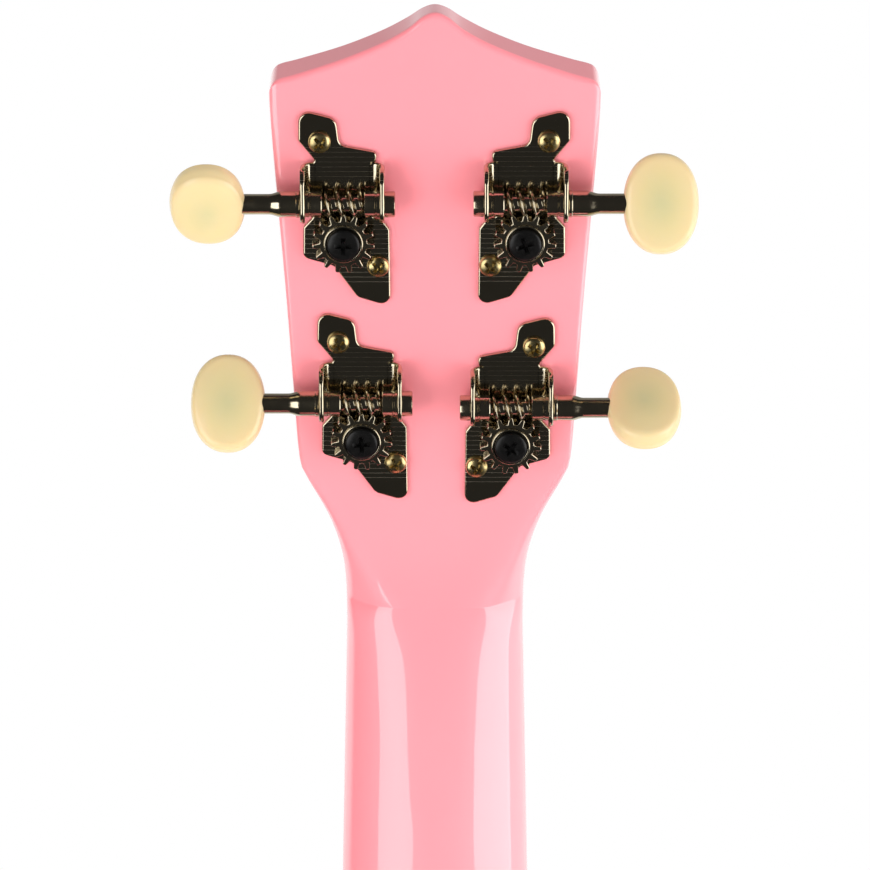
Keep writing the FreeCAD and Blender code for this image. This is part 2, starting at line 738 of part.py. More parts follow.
def gear(label, tuner):
    """Spur-toothed wheel with a raised hub, fixed on the end of the post."""
    body = new_body(label, shifted(back_frame, tuner["x"], tuner["u"]))
    rim = [circle(0, 0, size("gear_tip"))]
    pad(body, new_sketch(body, "XY_Plane", rim, "Sizes.gear_base"), "Sizes.gear_face")
    step = 2 * math.pi / size("gear_teeth")
    tip = size("gear_tip") + 0.4
    root = size("gear_root")
    tip_half = step / 2 - 0.375 / size("gear_tip") * 0.96
    root_half = step / 2 - 0.60 / root
    middle = math.pi / 2 + step / 2

    def polar(radius, angle):
        return (radius * math.cos(angle), radius * math.sin(angle))

    gap = loop([
        polar(root, middle - root_half), polar(tip, middle - tip_half),
        polar(tip, middle + tip_half), polar(root, middle + root_half),
    ])
    notch = pocket(body, new_sketch(body, "XY_Plane", gap), reverse=True)
    ring_of_gaps = body.newObject("PartDesign::PolarPattern", label + "_teeth")
    ring_of_gaps.Originals = [notch]
    axis = next(item for item in body.Origin.OriginFeatures if item.Role == "Z_Axis")
    ring_of_gaps.Axis = (axis, [""])
    ring_of_gaps.Angle = 360
    ring_of_gaps.setExpression("Occurrences", "Sizes.gear_teeth")
    body.Tip = ring_of_gaps
    hub = [circle(0, 0, size("hub_radius"))]
    pad(body, new_sketch(body, "XY_Plane", hub, "Sizes.hub_base"), "Sizes.hub_top - Sizes.hub_base")
    recess = [circle(0, 0, size("hub_recess"))]
    pocket(body, new_sketch(body, "XY_Plane", recess, "Sizes.hub_top"), "Sizes.hub_top - Sizes.recess_floor")
    pocket(body, new_sketch(body, "XY_Plane", [circle(0, 0, size("gear_bore"))]), reverse=True)
    return body


def worm(label, tuner):
    """Single-start right-hand worm on a shaft that ends inside the button."""
    lead = 2 * math.pi * size("gear_pitch_radius") / size("gear_teeth")
    turns = size("worm_turns")
    thread_half = lead * turns / 2
    root = size("worm_root")
    thick = size("worm_shaft")
    profile = [
        (0, -size("worm_inner_end")), (thick - 0.4, -size("worm_inner_end")),
        (thick, -size("worm_inner_end") + 0.4), (thick, -thread_half - 0.5), (root, -thread_half - 0.1),
        (root, thread_half + 0.1), (thick, thread_half + 0.5), (thick, size("stem_start")),
        (size("stem_radius"), size("stem_end")), (size("stem_radius"), size("stem_tip")), (0, size("stem_tip")),
    ]
    face = Part.Face(Part.makePolygon([vec(r, 0, z) for r, z in profile + profile[:1]]))
    shaft_solid = face.revolve(vec(0, 0, 0), vec(0, 0, 1), 360)
    helix = Part.makeLongHelix(lead, lead * turns, size("worm_tip"))
    base_half = 0.52
    tip_half = 0.25
    inner = root - 0.15
    tooth = Part.makePolygon([
        vec(inner, 0, -base_half), vec(size("worm_tip"), 0, -tip_half),
        vec(size("worm_tip"), 0, tip_half), vec(inner, 0, base_half), vec(inner, 0, -base_half),
    ])
    thread = Part.Wire(helix).makePipeShell([tooth], True, True)
    thread.translate(vec(0, 0, -thread_half))
    solid = single(shaft_solid.fuse(thread))
    # local z runs outwards to the button, local x points at the gear
    outward = vec(-tuner["side"], 0, 0)
    to_gear = vec(0, -1, 0)
    turn = FreeCAD.Rotation(to_gear, outward.cross(to_gear), outward, "ZXY")
    spot = shifted(back_frame, tuner["x"], tuner["u"] + size("worm_offset"), size("worm_height"), turn)
    return feature(label, solid, spot)


def button(label, tuner):
    """Oval grip with rounded rims, pressed on the end of the shaft."""
    turn = FreeCAD.Rotation(vec(1, 0, 0), -tuner["turn"])
    spot = shifted(back_frame, tuner["x"], tuner["u"] + size("worm_offset"), size("worm_height"), turn)
    across = size("button_across") / 2
    tall = size("button_tall") / 2
    oval = Part.Ellipse(vec(0, tall, 0), vec(across, 0, 0), vec(0, 0, 0)).toShape()
    disc = Part.Face(Part.Wire([oval])).extrude(vec(0, 0, size("button_thick")))
    disc.translate(vec(0, 0, -size("button_thick") / 2))
    rims = [edge for edge in disc.Edges if edge.BoundBox.ZLength < 1e-6]
    disc = disc.makeFillet(size("button_edge"), rims)
    outward = -tuner["side"]
    disc.translate(vec(outward * size("button_centre"), 0, 0))
    bore = rod(vec(0, 0, 0), vec(outward * size("stem_tip"), 0, 0), size("stem_radius"))
    return feature(label, single(disc.cut(bore)), spot)


def post(label, tuner):
    """String post: bushing end at the front, gear seat and tapped end at the back."""
    body = new_body(label, shifted(back_frame, tuner["x"], tuner["u"]))
    far_end = -size("head_thick") - size("post_reach")
    wide = size("post_radius")
    seat = size("gear_bore")
    tapped = size("gear_screw_shank")
    profile = [
        (0, far_end), (wide - 0.5, far_end), (wide, far_end + 0.5), (wide, size("hub_base")),
        (seat, size("hub_base")), (seat, size("recess_floor") - 0.1), (tapped, size("recess_floor") - 0.1),
        (tapped, -1.2), (0, -1.2),
    ]
    revolve(body, new_sketch(body, "XZ_Plane", loop(profile)))
    radius = tuner["radius"]
    pitch = 2 * radius + 0.06
    height = -size("head_thick") - size("winding_start") - pitch * size("winding_turns")
    angle = math.degrees(string_path(tuner)[5])
    eye = new_sketch(body, "XZ_Plane", [circle(0, height, radius + 0.15)])
    # the eye lies along the ray that the winding ends on
    eye.AttachmentOffset = FreeCAD.Placement(vec(0, 0, 0), FreeCAD.Rotation(vec(0, 1, 0), -angle - 90))
    pocket(body, eye, "40 mm", both=True)
    return body


def dome_screw(head_radius, head_base, head_side, head_top, shank, shank_end, cross, cross_deep):
    """Pan head with a cross recess, along z."""
    rise = head_top - head_side
    profile = [
        Part.LineSegment(vec(0, shank_end, 0), vec(shank, shank_end, 0)),
        Part.LineSegment(vec(shank, shank_end, 0), vec(shank, head_base, 0)),
        Part.LineSegment(vec(shank, head_base, 0), vec(head_radius, head_base, 0)),
        Part.LineSegment(vec(head_radius, head_base, 0), vec(head_radius, head_side, 0)),
        Part.Arc(vec(head_radius, head_side, 0), vec(head_radius * 0.62, head_side + rise * 0.74, 0),
                 vec(0, head_top, 0)),
        Part.LineSegment(vec(0, head_top, 0), vec(0, shank_end, 0)),
    ]
    face = face_of(profile)
    face.rotate(vec(0, 0, 0), vec(1, 0, 0), 90)
    solid = face.revolve(vec(0, 0, 0), vec(0, 0, 1), 360)
    half = cross / 2
    thin = cross / 8
    for wide, tall in ((half, thin), (thin, half)):
        solid = solid.cut(box(vec(-wide, -tall, head_top - cross_deep), vec(wide, tall, head_top + 1)))
    return single(solid)


def bushing(label, tuner):
    body = new_body(label, shifted(front_frame, -tuner["x"], tuner["u"]))
    bore = size("post_radius") + size("running_gap")
    sleeve = size("post_hole")
    flange = size("bushing_flange")
    lip = size("flange_thick")
    profile = [
        (bore, -size("bushing_length")), (sleeve, -size("bushing_length")), (sleeve, 0), (flange, 0),
        (flange, lip - 0.3), (flange - 0.5, lip), (bore, lip),
    ]
    revolve(body, new_sketch(body, "XZ_Plane", loop(profile)))
    return body


def winding(label, tuner):
    """Turns of string on the post, ending through its eye."""
    radius = tuner["radius"]
    wrap = size("post_radius") + radius + 0.03
    pitch = 2 * radius + 0.06
    turns = size("winding_turns")
    angle = math.degrees(string_path(tuner)[5])
    left_hand = tuner["side"] > 0
    helix = Part.makeHelix(pitch, pitch * turns, wrap, 0, left_hand)
    disc = Part.Wire([Part.Circle(vec(wrap, 0, 0), vec(0, 1, 0), radius).toShape()])
    coil = Part.Wire(helix).makePipeShell([disc], True, True)
    coil_top = pitch * turns
    tail = rod(vec(wrap, 0, coil_top), vec(-wrap - 2.0, 0, coil_top), radius)
    knee = Part.makeSphere(radius, vec(wrap, 0, coil_top))
    solid = single(coil.fuse([tail, knee]))
    spot = shifted(front_frame, -tuner["x"], tuner["u"], size("winding_start"), FreeCAD.Rotation(vec(0, 0, 1), angle))
    return feature(label, solid, spot)


def string(label, tuner):
    """Nylon string from its knot over saddle and nut to just short of the winding."""
    radius = tuner["radius"]
    knot, saddle_point, nut_front, nut_back, landing, angle = string_path(tuner)
    wrap = size("post_radius") + radius + 0.03
    short = math.sqrt((wrap + 2 * radius + 0.06) ** 2 - wrap ** 2)
    end = landing + (nut_back - landing).normalize() * short
    points = [knot, saddle_point, nut_front, nut_back, end]
    pieces = [rod(start, stop, radius) for start, stop in zip(points, points[1:])]
    pieces += [Part.makeSphere(radius, point) for point in points[1:4]]
    pieces.append(Part.makeSphere(1.4, knot))
    return feature(label, single(pieces[0].fuse(pieces[1:])))


all_plate_screws = []
for name, tuner in tuners.items():
    tuner_plate("tuner_plate_" + name, tuner)
    gear("gear_" + name, tuner)
    worm("worm_" + name, tuner)
    button("button_" + name, tuner)
    post("post_" + name, tuner)
    bushing("bushing_" + name, tuner)
    winding("string_winding_" + name, tuner)
    string("string_" + name, tuner)
    gear_screw = dome_screw(
        size("gear_screw_head"), size("recess_floor"), 6.1, 6.8, size("gear_screw_shank"), -0.9, 3.4, 1.1)
    feature("gear_screw_" + name, gear_screw, shifted(back_frame, tuner["x"], tuner["u"]))
    for x, y in plate_screw_spots:
        top = size("tuner_plate")
        screw = dome_screw(
            size("plate_screw_head"), top, top + 0.7, top + 1.5,
            size("plate_screw_shank"), top - size("plate_screw_length"), 2.4, 0.9)
        screw.Placement = shifted(back_frame, tuner["x"] + tuner["side"] * x, tuner["u"] + y)
        all_plate_screws.append(screw)
feature("plate_screws", Part.makeCompound(all_plate_screws))


# ---------------------------------------------------------------- write every node

doc.recompute()
node_types = ("PartDesign::Body", "Part::Feature", "Part::Box")
problems = []
for item in doc.Objects:
    if "Invalid" in item.State or "Error" in item.State:
        problems.append(f"{item.Label}: {item.State}")
nodes = [item for item in doc.Objects if item.TypeId in node_types]
for item in nodes:
    if item.Shape.isNull() or not item.Shape.isValid():
        problems.append(f"{item.Label}: bad shape")
        continue
    item.Shape.exportStep(f"parts/{item.Label}.step")
    print(item.Label, len(item.Shape.Solids), round(item.Shape.Volume, 2))
print(len(nodes), "nodes")
if problems:
    raise SystemExit("\n".join(problems))
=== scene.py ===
import json
import math

import bmesh
import bpy
from mathutils import Matrix, Vector, noise


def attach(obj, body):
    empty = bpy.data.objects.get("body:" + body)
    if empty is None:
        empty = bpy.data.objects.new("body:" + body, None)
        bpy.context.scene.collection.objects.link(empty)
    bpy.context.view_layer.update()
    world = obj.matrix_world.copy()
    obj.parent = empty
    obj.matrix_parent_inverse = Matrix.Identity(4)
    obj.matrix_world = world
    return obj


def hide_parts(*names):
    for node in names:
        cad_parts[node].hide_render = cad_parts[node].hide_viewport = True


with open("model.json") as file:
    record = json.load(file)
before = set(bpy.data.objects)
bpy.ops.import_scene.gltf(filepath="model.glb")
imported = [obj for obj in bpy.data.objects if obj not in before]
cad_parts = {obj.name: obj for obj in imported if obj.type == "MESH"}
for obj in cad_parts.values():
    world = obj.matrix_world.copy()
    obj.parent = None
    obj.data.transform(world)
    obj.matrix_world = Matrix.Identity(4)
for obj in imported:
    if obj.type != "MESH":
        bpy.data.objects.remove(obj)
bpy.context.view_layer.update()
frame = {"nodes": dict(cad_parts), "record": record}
nodes = frame["nodes"]
print("frame loaded:", len(nodes), "nodes")

mm = 0.001

# headstock geometry shared by the pieces below, millimetres and degrees
headstock = {
    "tilt": 14.0,
    "thickness": 13.0,
}
tilt = math.radians(headstock["tilt"])
upAxis = Vector((0.0, math.sin(tilt), math.cos(tilt)))
backAxis = Vector((0.0, math.cos(tilt), -math.sin(tilt)))

# one machine per string: x and height on the back of the headstock, side, button turn in degrees
machines = {
    "g": {"x": 14.8, "height": 38.2, "side": -1, "turn": 65.0},
    "c": {"x": 17.3, "height": 80.4, "side": -1, "turn": 20.0},
    "e": {"x": -17.6, "height": 80.3, "side": 1, "turn": -28.0},
    "a": {"x": -14.35, "height": 39.1, "side": 1, "turn": 32.0},
}


# ---- small helpers

def linearColour(hexText):
    values = []
    for start in (1, 3, 5):
        part = int(hexText[start:start + 2], 16) / 255
        values.append(part / 12.92 if part <= 0.04045 else ((part + 0.055) / 1.055) ** 2.4)
    return (*values, 1.0)


def addNode(tree, kind, settings=None, links=None):
    # settings name either an input socket or a property; links name the input and its source socket
    node = tree.nodes.new(kind)
    for key, value in (settings or {}).items():
        if isinstance(key, int) or key in node.inputs:
            node.inputs[key].default_value = value
        else:
            setattr(node, key, value)
    for key, source in (links or {}).items():
        tree.links.new(source, node.inputs[key])
    return node


def newMaterial(name, settings):
    material = bpy.data.materials.new(name)
    material.use_nodes = True
    tree = material.node_tree
    tree.nodes.clear()
    shader = addNode(tree, "ShaderNodeBsdfPrincipled", settings)
    addNode(tree, "ShaderNodeOutputMaterial", {}, {"Surface": shader.outputs["BSDF"]})
    place = addNode(tree, "ShaderNodeTexCoord")
    return material, tree, shader, place.outputs["Object"]


def between(table, value):
    # smooth interpolation through a table of (position, amount)
    if value <= table[0][0]:
        return table[0][1]
    if value >= table[-1][0]:
        return table[-1][1]
    for index in range(len(table) - 1):
        x0, y0 = table[index]
        x1, y1 = table[index + 1]
        if x0 <= value <= x1:
            before = table[index - 1] if index else table[0]
            after = table[index + 2] if index + 2 < len(table) else table[-1]
            span = x1 - x0
            slope0 = (y1 - before[1]) / (x1 - before[0])
            slope1 = (after[1] - y0) / (after[0] - x0)
            t = (value - x0) / span
            return (
                y0 * (2 * t ** 3 - 3 * t ** 2 + 1) + y1 * (3 * t ** 2 - 2 * t ** 3)
                + span * slope0 * (t ** 3 - 2 * t ** 2 + t) + span * slope1 * (t ** 3 - t ** 2)
            )


def smoothLine(points, steps=8):
    # a rounder line through the same points
    line = []
    last = len(points) - 1
    for index in range(last):
        p0 = Vector(points[max(index - 1, 0)])
        p1 = Vector(points[index])
        p2 = Vector(points[index + 1])
        p3 = Vector(points[min(index + 2, last)])
        for step in range(steps):
            t = step / steps
            line.append(0.5 * (
                2 * p1 + (p2 - p0) * t + (2 * p0 - 5 * p1 + 4 * p2 - p3) * t * t
                + (3 * p1 - p0 - 3 * p2 + p3) * t ** 3
            ))
    line.append(Vector(points[last]))
    return line


def roundedLoop(corners, steps=6):
    # corners are (x, y, radius)
    loop = []
    count = len(corners)
    for index, (x, y, radius) in enumerate(corners):
        here = Vector((x, y))
        if radius == 0:
            loop.append(here)
            continue
        toBefore = (Vector(corners[index - 1][:2]) - here).normalized()
        toAfter = (Vector(corners[(index + 1) % count][:2]) - here).normalized()
        half = toBefore.angle(toAfter) / 2
        centre = here + (toBefore + toAfter).normalized() * (radius / math.sin(half))
        start = here + toBefore * (radius / math.tan(half)) - centre
        end = here + toAfter * (radius / math.tan(half)) - centre
        turn = math.atan2(start.x * end.y - start.y * end.x, start.dot(end))
        for step in range(steps + 1):
            angle = turn * step / steps
            c, s = math.cos(angle), math.sin(angle)
            loop.append(centre + Vector((start.x * c - start.y * s, start.x * s + start.y * c)))
    return loop


def insetLoop(loop, amount):
    # moves every point of a loop inwards by the same amount
    area = sum(a.x * b.y - b.x * a.y for a, b in zip(loop, loop[1:] + loop[:1]))
    sign = 1 if area > 0 else -1
    moved = []
    for index, here in enumerate(loop):
        before = here - loop[index - 1]
        after = loop[(index + 1) % len(loop)] - here
        if before.length < 1e-6 or after.length < 1e-6:
            before = after = before if before.length > after.length else after
        first = Vector((-before.y, before.x)).normalized() * sign
        second = Vector((-after.y, after.x)).normalized() * sign
        middle = (first + second).normalized()
        moved.append(here + middle * (amount / max(middle.dot(first), 0.5)))
    return moved


def roundedSlab(outline, low, high, edge, steps=5):
    # a sheet with its upper rim rolled over
    rings = [[Vector((p.x, p.y, low)) for p in outline]]
    for step in range(steps + 1):
        angle = math.pi / 2 * step / steps
        inset = insetLoop(outline, edge * (1 - math.cos(angle)))
        z = high - edge * (1 - math.sin(angle))
        rings.append([Vector((p.x, p.y, z)) for p in inset])
    return bridgeRings(rings)


def evenNormals(piece):
    weighted = piece.modifiers.new("evenNormals", "WEIGHTED_NORMAL")
    weighted.keep_sharp = True
    weighted.weight = 90


def machineFrame(machine, x=0.0, y=0.0, z=0.0, rotation=None):
    # x to the right of the back view, y up the headstock, z out of its back face
    base = Matrix((
        (-1.0, 0.0, 0.0, 0.0),
        (0.0, upAxis.y, backAxis.y, 0.0),
        (0.0, upAxis.z, backAxis.z, 0.0),
        (0.0, 0.0, 0.0, 1.0),
    ))
    origin = backAxis * headstock["thickness"]
    place = Matrix.Translation(origin) @ base
    place = place @ Matrix.Translation((machine["x"] + x, machine["height"] + y, z))
    return place @ rotation.to_4x4() if rotation else place


def addPiece(name, points, faces, material, body, replaced=(), place=None, sharp=40.0):
    mesh = bpy.data.meshes.new(name)
    mesh.from_pydata([tuple(p) for p in points], [], faces)
    builder = bmesh.new()
    builder.from_mesh(mesh)
    bmesh.ops.remove_doubles(builder, verts=builder.verts, dist=1e-5)
    bmesh.ops.recalc_face_normals(builder, faces=builder.faces)
    builder.to_mesh(mesh)
    builder.free()
    mesh.transform((Matrix.Scale(mm, 4) @ place) if place else Matrix.Scale(mm, 4))
    if place and place.determinant() < 0:
        mesh.flip_normals()
    piece = bpy.data.objects.new(name, mesh)
    bpy.context.scene.collection.objects.link(piece)
    mesh.materials.append(material)
    mesh.polygons.foreach_set("use_smooth", [True] * len(mesh.polygons))
    mesh.set_sharp_from_angle(angle=math.radians(sharp))
    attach(piece, body)
    if replaced:
        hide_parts(*replaced)
    return piece


def carve(piece, cutterPoints, cutterFaces):
    # cuts a closed shape, given in metres, out of a piece
    mesh = bpy.data.meshes.new("cutter")
    mesh.from_pydata([tuple(p) for p in cutterPoints], [], cutterFaces)
    builder = bmesh.new()
    builder.from_mesh(mesh)
    bmesh.ops.recalc_face_normals(builder, faces=builder.faces)
    builder.to_mesh(mesh)
    builder.free()
    cutter = bpy.data.objects.new("cutter", mesh)
    bpy.context.scene.collection.objects.link(cutter)
    cut = piece.modifiers.new("cut", "BOOLEAN")
    cut.object = cutter
    cut.solver = "EXACT"
    bpy.context.view_layer.update()
    graph = bpy.context.evaluated_depsgraph_get()
    result = bpy.data.meshes.new_from_object(piece.evaluated_get(graph))
    piece.modifiers.remove(cut)
    piece.data = result
    bpy.data.objects.remove(cutter)


def bridgeRings(rings):
    # rings of equal length become a closed skin; returns points and faces
    count = len(rings[0])
    points = [point for ring in rings for point in ring]
    faces = []
    for index in range(len(rings) - 1):
        for k in range(count):
            a = index * count + k
            b = index * count + (k + 1) % count
            faces.append((a, b, b + count, a + count))
    faces.append(tuple(reversed(range(count))))
    faces.append(tuple(range((len(rings) - 1) * count, len(rings) * count)))
    return points, faces


def lathe(profile, steps=64):
    # turns (radius, z) about z; both ends are closed on the axis if their radius is not 0
    rings = []
    for radius, z in profile:
        reach = max(radius, 1e-4)
        rings.append([
            Vector((reach * math.cos(2 * math.pi * k / steps), reach * math.sin(2 * math.pi * k / steps), z))
            for k in range(steps)
        ])
    return bridgeRings(rings)


def joinParts(*parts):
    points, faces = [], []
    for partPoints, partFaces in parts:
        offset = len(points)
        points += partPoints
        faces += [tuple(index + offset for index in face) for face in partFaces]
    return points, faces


# ---- materials

# Polyester lacquer sprayed over wood and polished: deep even pink under a clear skin,
# hard-edged reflections that wander a little where the wood was sanded by hand.
lacquer = {
    "pink": "#fa8b95",
    "warmPink": "#fc939b",
    "roughness": 0.38,
    "coatRoughness": 0.045,
    "patchSize": 45.0,      # mm, slow shade drift
    "peelSize": 2.6,        # mm, orange peel left by the spray gun
}


def makePinkLacquer():
    material, tree, shader, place = newMaterial("polyesterLacquerPolished", {
        "Roughness": lacquer["roughness"],
        "IOR": 1.5,
        "Coat Weight": 1.0,
        "Coat Roughness": lacquer["coatRoughness"],
        "Coat IOR": 1.65,
    })
    drift = addNode(tree, "ShaderNodeTexNoise", {"Scale": 1000 / lacquer["patchSize"], "Detail": 2.0},
                    {"Vector": place})
    shade = addNode(tree, "ShaderNodeMix", {
        "data_type": "RGBA", 6: linearColour(lacquer["pink"]), 7: linearColour(lacquer["warmPink"]),
    }, {0: drift.outputs["Fac"]})
    tree.links.new(shade.outputs[2], shader.inputs["Base Color"])
    peel = addNode(tree, "ShaderNodeTexNoise", {"Scale": 1000 / lacquer["peelSize"], "Detail": 1.0},
                   {"Vector": place})
    bump = addNode(tree, "ShaderNodeBump", {"Strength": 0.06, "Distance": 0.00002}, {"Height": peel.outputs["Fac"]})
    tree.links.new(bump.outputs["Normal"], shader.inputs["Coat Normal"])
    return material


# Cellulose-like moulded plastic, tumbled smooth: creamy, faintly clouded, light sinks in a little; the middle of each
# face carries a painted greenish-grey reflection.
buttonPlastic = {
    # middle is a painted greenish-grey reflection, not the plastic's own colour
    "middle": "#b6b385",
    "cream": "#d2bf8b",
    "rim": "#dfc191",
    "cloud": "#cdbf92",
    "cloudSize": 9.0,
    "roughness": 0.3,
}


def makeCreamPlastic():
    material, tree, shader, place = newMaterial("mouldedCreamPlastic", {
        "Roughness": buttonPlastic["roughness"],
        "IOR": 1.49,
        "Subsurface Weight": 0.25,
        "Subsurface Scale": 0.002,
        "Subsurface Radius": (1.0, 0.7, 0.35),
        "Coat Weight": 0.25,
        "Coat Roughness": 0.12,
    })
    # painted reflection: the middle of each face is painted greenish grey, grading through cream to the paler, warmer
    # rim colour at the edges
    reach = addNode(tree, "ShaderNodeAttribute", {"attribute_name": "paintedReflectionFromMiddle"})
    ramp = addNode(tree, "ShaderNodeValToRGB", {}, {"Fac": reach.outputs["Fac"]})
    stops = ramp.color_ramp.elements
    stops[0].position = 0.1
    stops[0].color = linearColour(buttonPlastic["middle"])
    stops[1].position = 0.98
    stops[1].color = linearColour(buttonPlastic["rim"])
    halfway = stops.new(0.62)
    halfway.color = linearColour(buttonPlastic["cream"])
    cloud = addNode(tree, "ShaderNodeTexNoise", {
        "Scale": 1000 / buttonPlastic["cloudSize"], "Detail": 3.0, "Roughness": 0.6,
    }, {"Vector": place})
    clouded = addNode(tree, "ShaderNodeMix", {"data_type": "RGBA", 7: linearColour(buttonPlastic["cloud"])},
                      {0: cloud.outputs["Fac"], 6: ramp.outputs["Color"]})
    tree.links.new(clouded.outputs[2], shader.inputs["Base Color"])
    grain = addNode(tree, "ShaderNodeTexNoise", {"Scale": 900.0, "Detail": 2.0}, {"Vector": place})
    bump = addNode(tree, "ShaderNodeBump", {"Strength": 0.12, "Distance": 0.00003}, {"Height": grain.outputs["Fac"]})
    tree.links.new(bump.outputs["Normal"], shader.inputs["Normal"])
    return material


# Bright nickel over stamped or turned steel: a dark mirror with a slightly yellow cast and hairline wear;
# the plates are ruled with fine lines above the ears and beside the wheel.
nickel = {
    "metal": "#d2c7b0",
    "dull": "#b3a78c",
    "roughness": 0.10,
    "turnedRoughness": 0.17,
    "scratchSize": 0.5,
    "ruling": [
        {"low": -10.2, "high": 3.4, "spacing": 0.98, "width": 0.19, "strength": 0.34},
        {"low": 11.5, "high": 18.6, "spacing": 0.98, "width": 0.17, "strength": 0.2},
    ],
}


def makeNickel(name, metal, dull, roughness, ruling=()):
    material, tree, shader, place = newMaterial(name, {"Metallic": 1.0})
    wear = addNode(tree, "ShaderNodeTexNoise", {"Scale": 420.0, "Detail": 4.0}, {"Vector": place})
    tint = addNode(tree, "ShaderNodeMix", {
        "data_type": "RGBA", 6: linearColour(metal), 7: linearColour(dull),
    }, {0: wear.outputs["Fac"]})
    rough = addNode(tree, "ShaderNodeMapRange", {
        "From Min": 0.3, "From Max": 0.75, "To Min": roughness * 0.7, "To Max": roughness * 1.5,
    }, {"Value": wear.outputs["Fac"]})
    fine = addNode(tree, "ShaderNodeTexNoise", {"Scale": 1000 / nickel["scratchSize"], "Detail": 2.0},
                   {"Vector": place})
    bump = addNode(tree, "ShaderNodeBump", {"Strength": 0.1, "Distance": 0.00001}, {"Height": fine.outputs["Fac"]})
    colourOut = tint.outputs[2]
    roughOut = rough.outputs["Result"]
    if ruling:
        space = addNode(tree, "ShaderNodeAttribute", {"attribute_name": "plateSpace"})
        axes = addNode(tree, "ShaderNodeSeparateXYZ", {}, {0: space.outputs["Vector"]})
        height = axes.outputs["Y"]
    for rule in ruling:
        scaled = addNode(tree, "ShaderNodeMath", {"operation": "MULTIPLY", 1: 1 / rule["spacing"]}, {0: height})
        cycle = addNode(tree, "ShaderNodeMath", {"operation": "FRACT"}, {0: scaled.outputs[0]})
        away = addNode(tree, "ShaderNodeMath", {"operation": "SUBTRACT", 1: 0.5}, {0: cycle.outputs[0]})
        size = addNode(tree, "ShaderNodeMath", {"operation": "ABSOLUTE"}, {0: away.outputs[0]})
        line = addNode(tree, "ShaderNodeMapRange", {
            "From Min": 0.0, "From Max": rule["width"] / rule["spacing"] / 2,
            "To Min": rule["strength"], "To Max": 0.0,
        }, {"Value": size.outputs[0]})
        above = addNode(tree, "ShaderNodeMath", {"operation": "GREATER_THAN", 1: rule["low"]}, {0: height})
        below = addNode(tree, "ShaderNodeMath", {"operation": "LESS_THAN", 1: rule["high"]}, {0: height})
        inside = addNode(tree, "ShaderNodeMath", {"operation": "MULTIPLY"},
                         {0: above.outputs[0], 1: below.outputs[0]})
        shown = addNode(tree, "ShaderNodeMath", {"operation": "MULTIPLY"},
                        {0: line.outputs["Result"], 1: inside.outputs[0]})
        paler = addNode(tree, "ShaderNodeMix", {"data_type": "RGBA", 7: linearColour("#f6efdf")},
                        {0: shown.outputs[0], 6: colourOut})
        colourOut = paler.outputs[2]
        matt = addNode(tree, "ShaderNodeMath", {"operation": "MULTIPLY_ADD", 1: 1.1, "use_clamp": True},
                       {0: shown.outputs[0], 2: roughOut})
        roughOut = matt.outputs[0]
    tree.links.new(colourOut, shader.inputs["Base Color"])
    tree.links.new(roughOut, shader.inputs["Roughness"])
    tree.links.new(bump.outputs["Normal"], shader.inputs["Normal"])
    return material


# Hardened screw in black oxide: oily near-black with a soft sheen on its dome.
def makeBlackOxide():
    material, tree, shader, place = newMaterial("blackOxideSteel", {"Metallic": 0.6, "Roughness": 0.3})
    cloud = addNode(tree, "ShaderNodeTexNoise", {"Scale": 700.0, "Detail": 3.0}, {"Vector": place})
    tint = addNode(tree, "ShaderNodeMix", {
        "data_type": "RGBA", 6: linearColour("#0d0d0e"), 7: linearColour("#262524"),
    }, {0: cloud.outputs["Fac"]})
    tree.links.new(tint.outputs[2], shader.inputs["Base Color"])
    bump = addNode(tree, "ShaderNodeBump", {"Strength": 0.15, "Distance": 0.00002}, {"Height": cloud.outputs["Fac"]})
    tree.links.new(bump.outputs["Normal"], shader.inputs["Normal"])
    return material


# Planed timber: straight grain drawn along the neck, pores as dark flecks.
def makeWood(name, pale, dark, roughness, grainSize, coat=0.0):
    material, tree, shader, place = newMaterial(name, {"IOR": 1.5, "Coat Weight": coat, "Coat Roughness": 0.2})
    stretch = addNode(tree, "ShaderNodeMapping", {"Scale": (1.0, 1.0, 0.07)}, {"Vector": place})
    grain = addNode(tree, "ShaderNodeTexNoise", {
        "Scale": 1000 / grainSize, "Detail": 6.0, "Roughness": 0.65, "Distortion": 0.4,
    }, {"Vector": stretch.outputs["Vector"]})
    ramp = addNode(tree, "ShaderNodeValToRGB", {}, {"Fac": grain.outputs["Fac"]})
    stops = ramp.color_ramp.elements
    stops[0].position = 0.32
    stops[0].color = linearColour(dark)
    stops[1].position = 0.68
    stops[1].color = linearColour(pale)
    tree.links.new(ramp.outputs["Color"], shader.inputs["Base Color"])
    rough = addNode(tree, "ShaderNodeMapRange", {"To Min": roughness + 0.1, "To Max": roughness - 0.08},
                    {"Value": grain.outputs["Fac"]})
    tree.links.new(rough.outputs["Result"], shader.inputs["Roughness"])
    bump = addNode(tree, "ShaderNodeBump", {"Strength": 0.35, "Distance": 0.00008}, {"Height": grain.outputs["Fac"]})
    tree.links.new(bump.outputs["Normal"], shader.inputs["Normal"])
    return material


# Plain moulded or drawn plastic with a faint mottling.
def makePlastic(name, main, second, roughness, size, extra=None):
    material, tree, shader, place = newMaterial(name, {"Roughness": roughness, "IOR": 1.5, **(extra or {})})
    mottle = addNode(tree, "ShaderNodeTexNoise", {"Scale": 1000 / size, "Detail": 3.0}, {"Vector": place})
    tint = addNode(tree, "ShaderNodeMix", {
        "data_type": "RGBA", 6: linearColour(main), 7: linearColour(second),
    }, {0: mottle.outputs["Fac"]})
    tree.links.new(tint.outputs[2], shader.inputs["Base Color"])
    bump = addNode(tree, "ShaderNodeBump", {"Strength": 0.1, "Distance": 0.00003}, {"Height": mottle.outputs["Fac"]})
    tree.links.new(bump.outputs["Normal"], shader.inputs["Normal"])
    return material


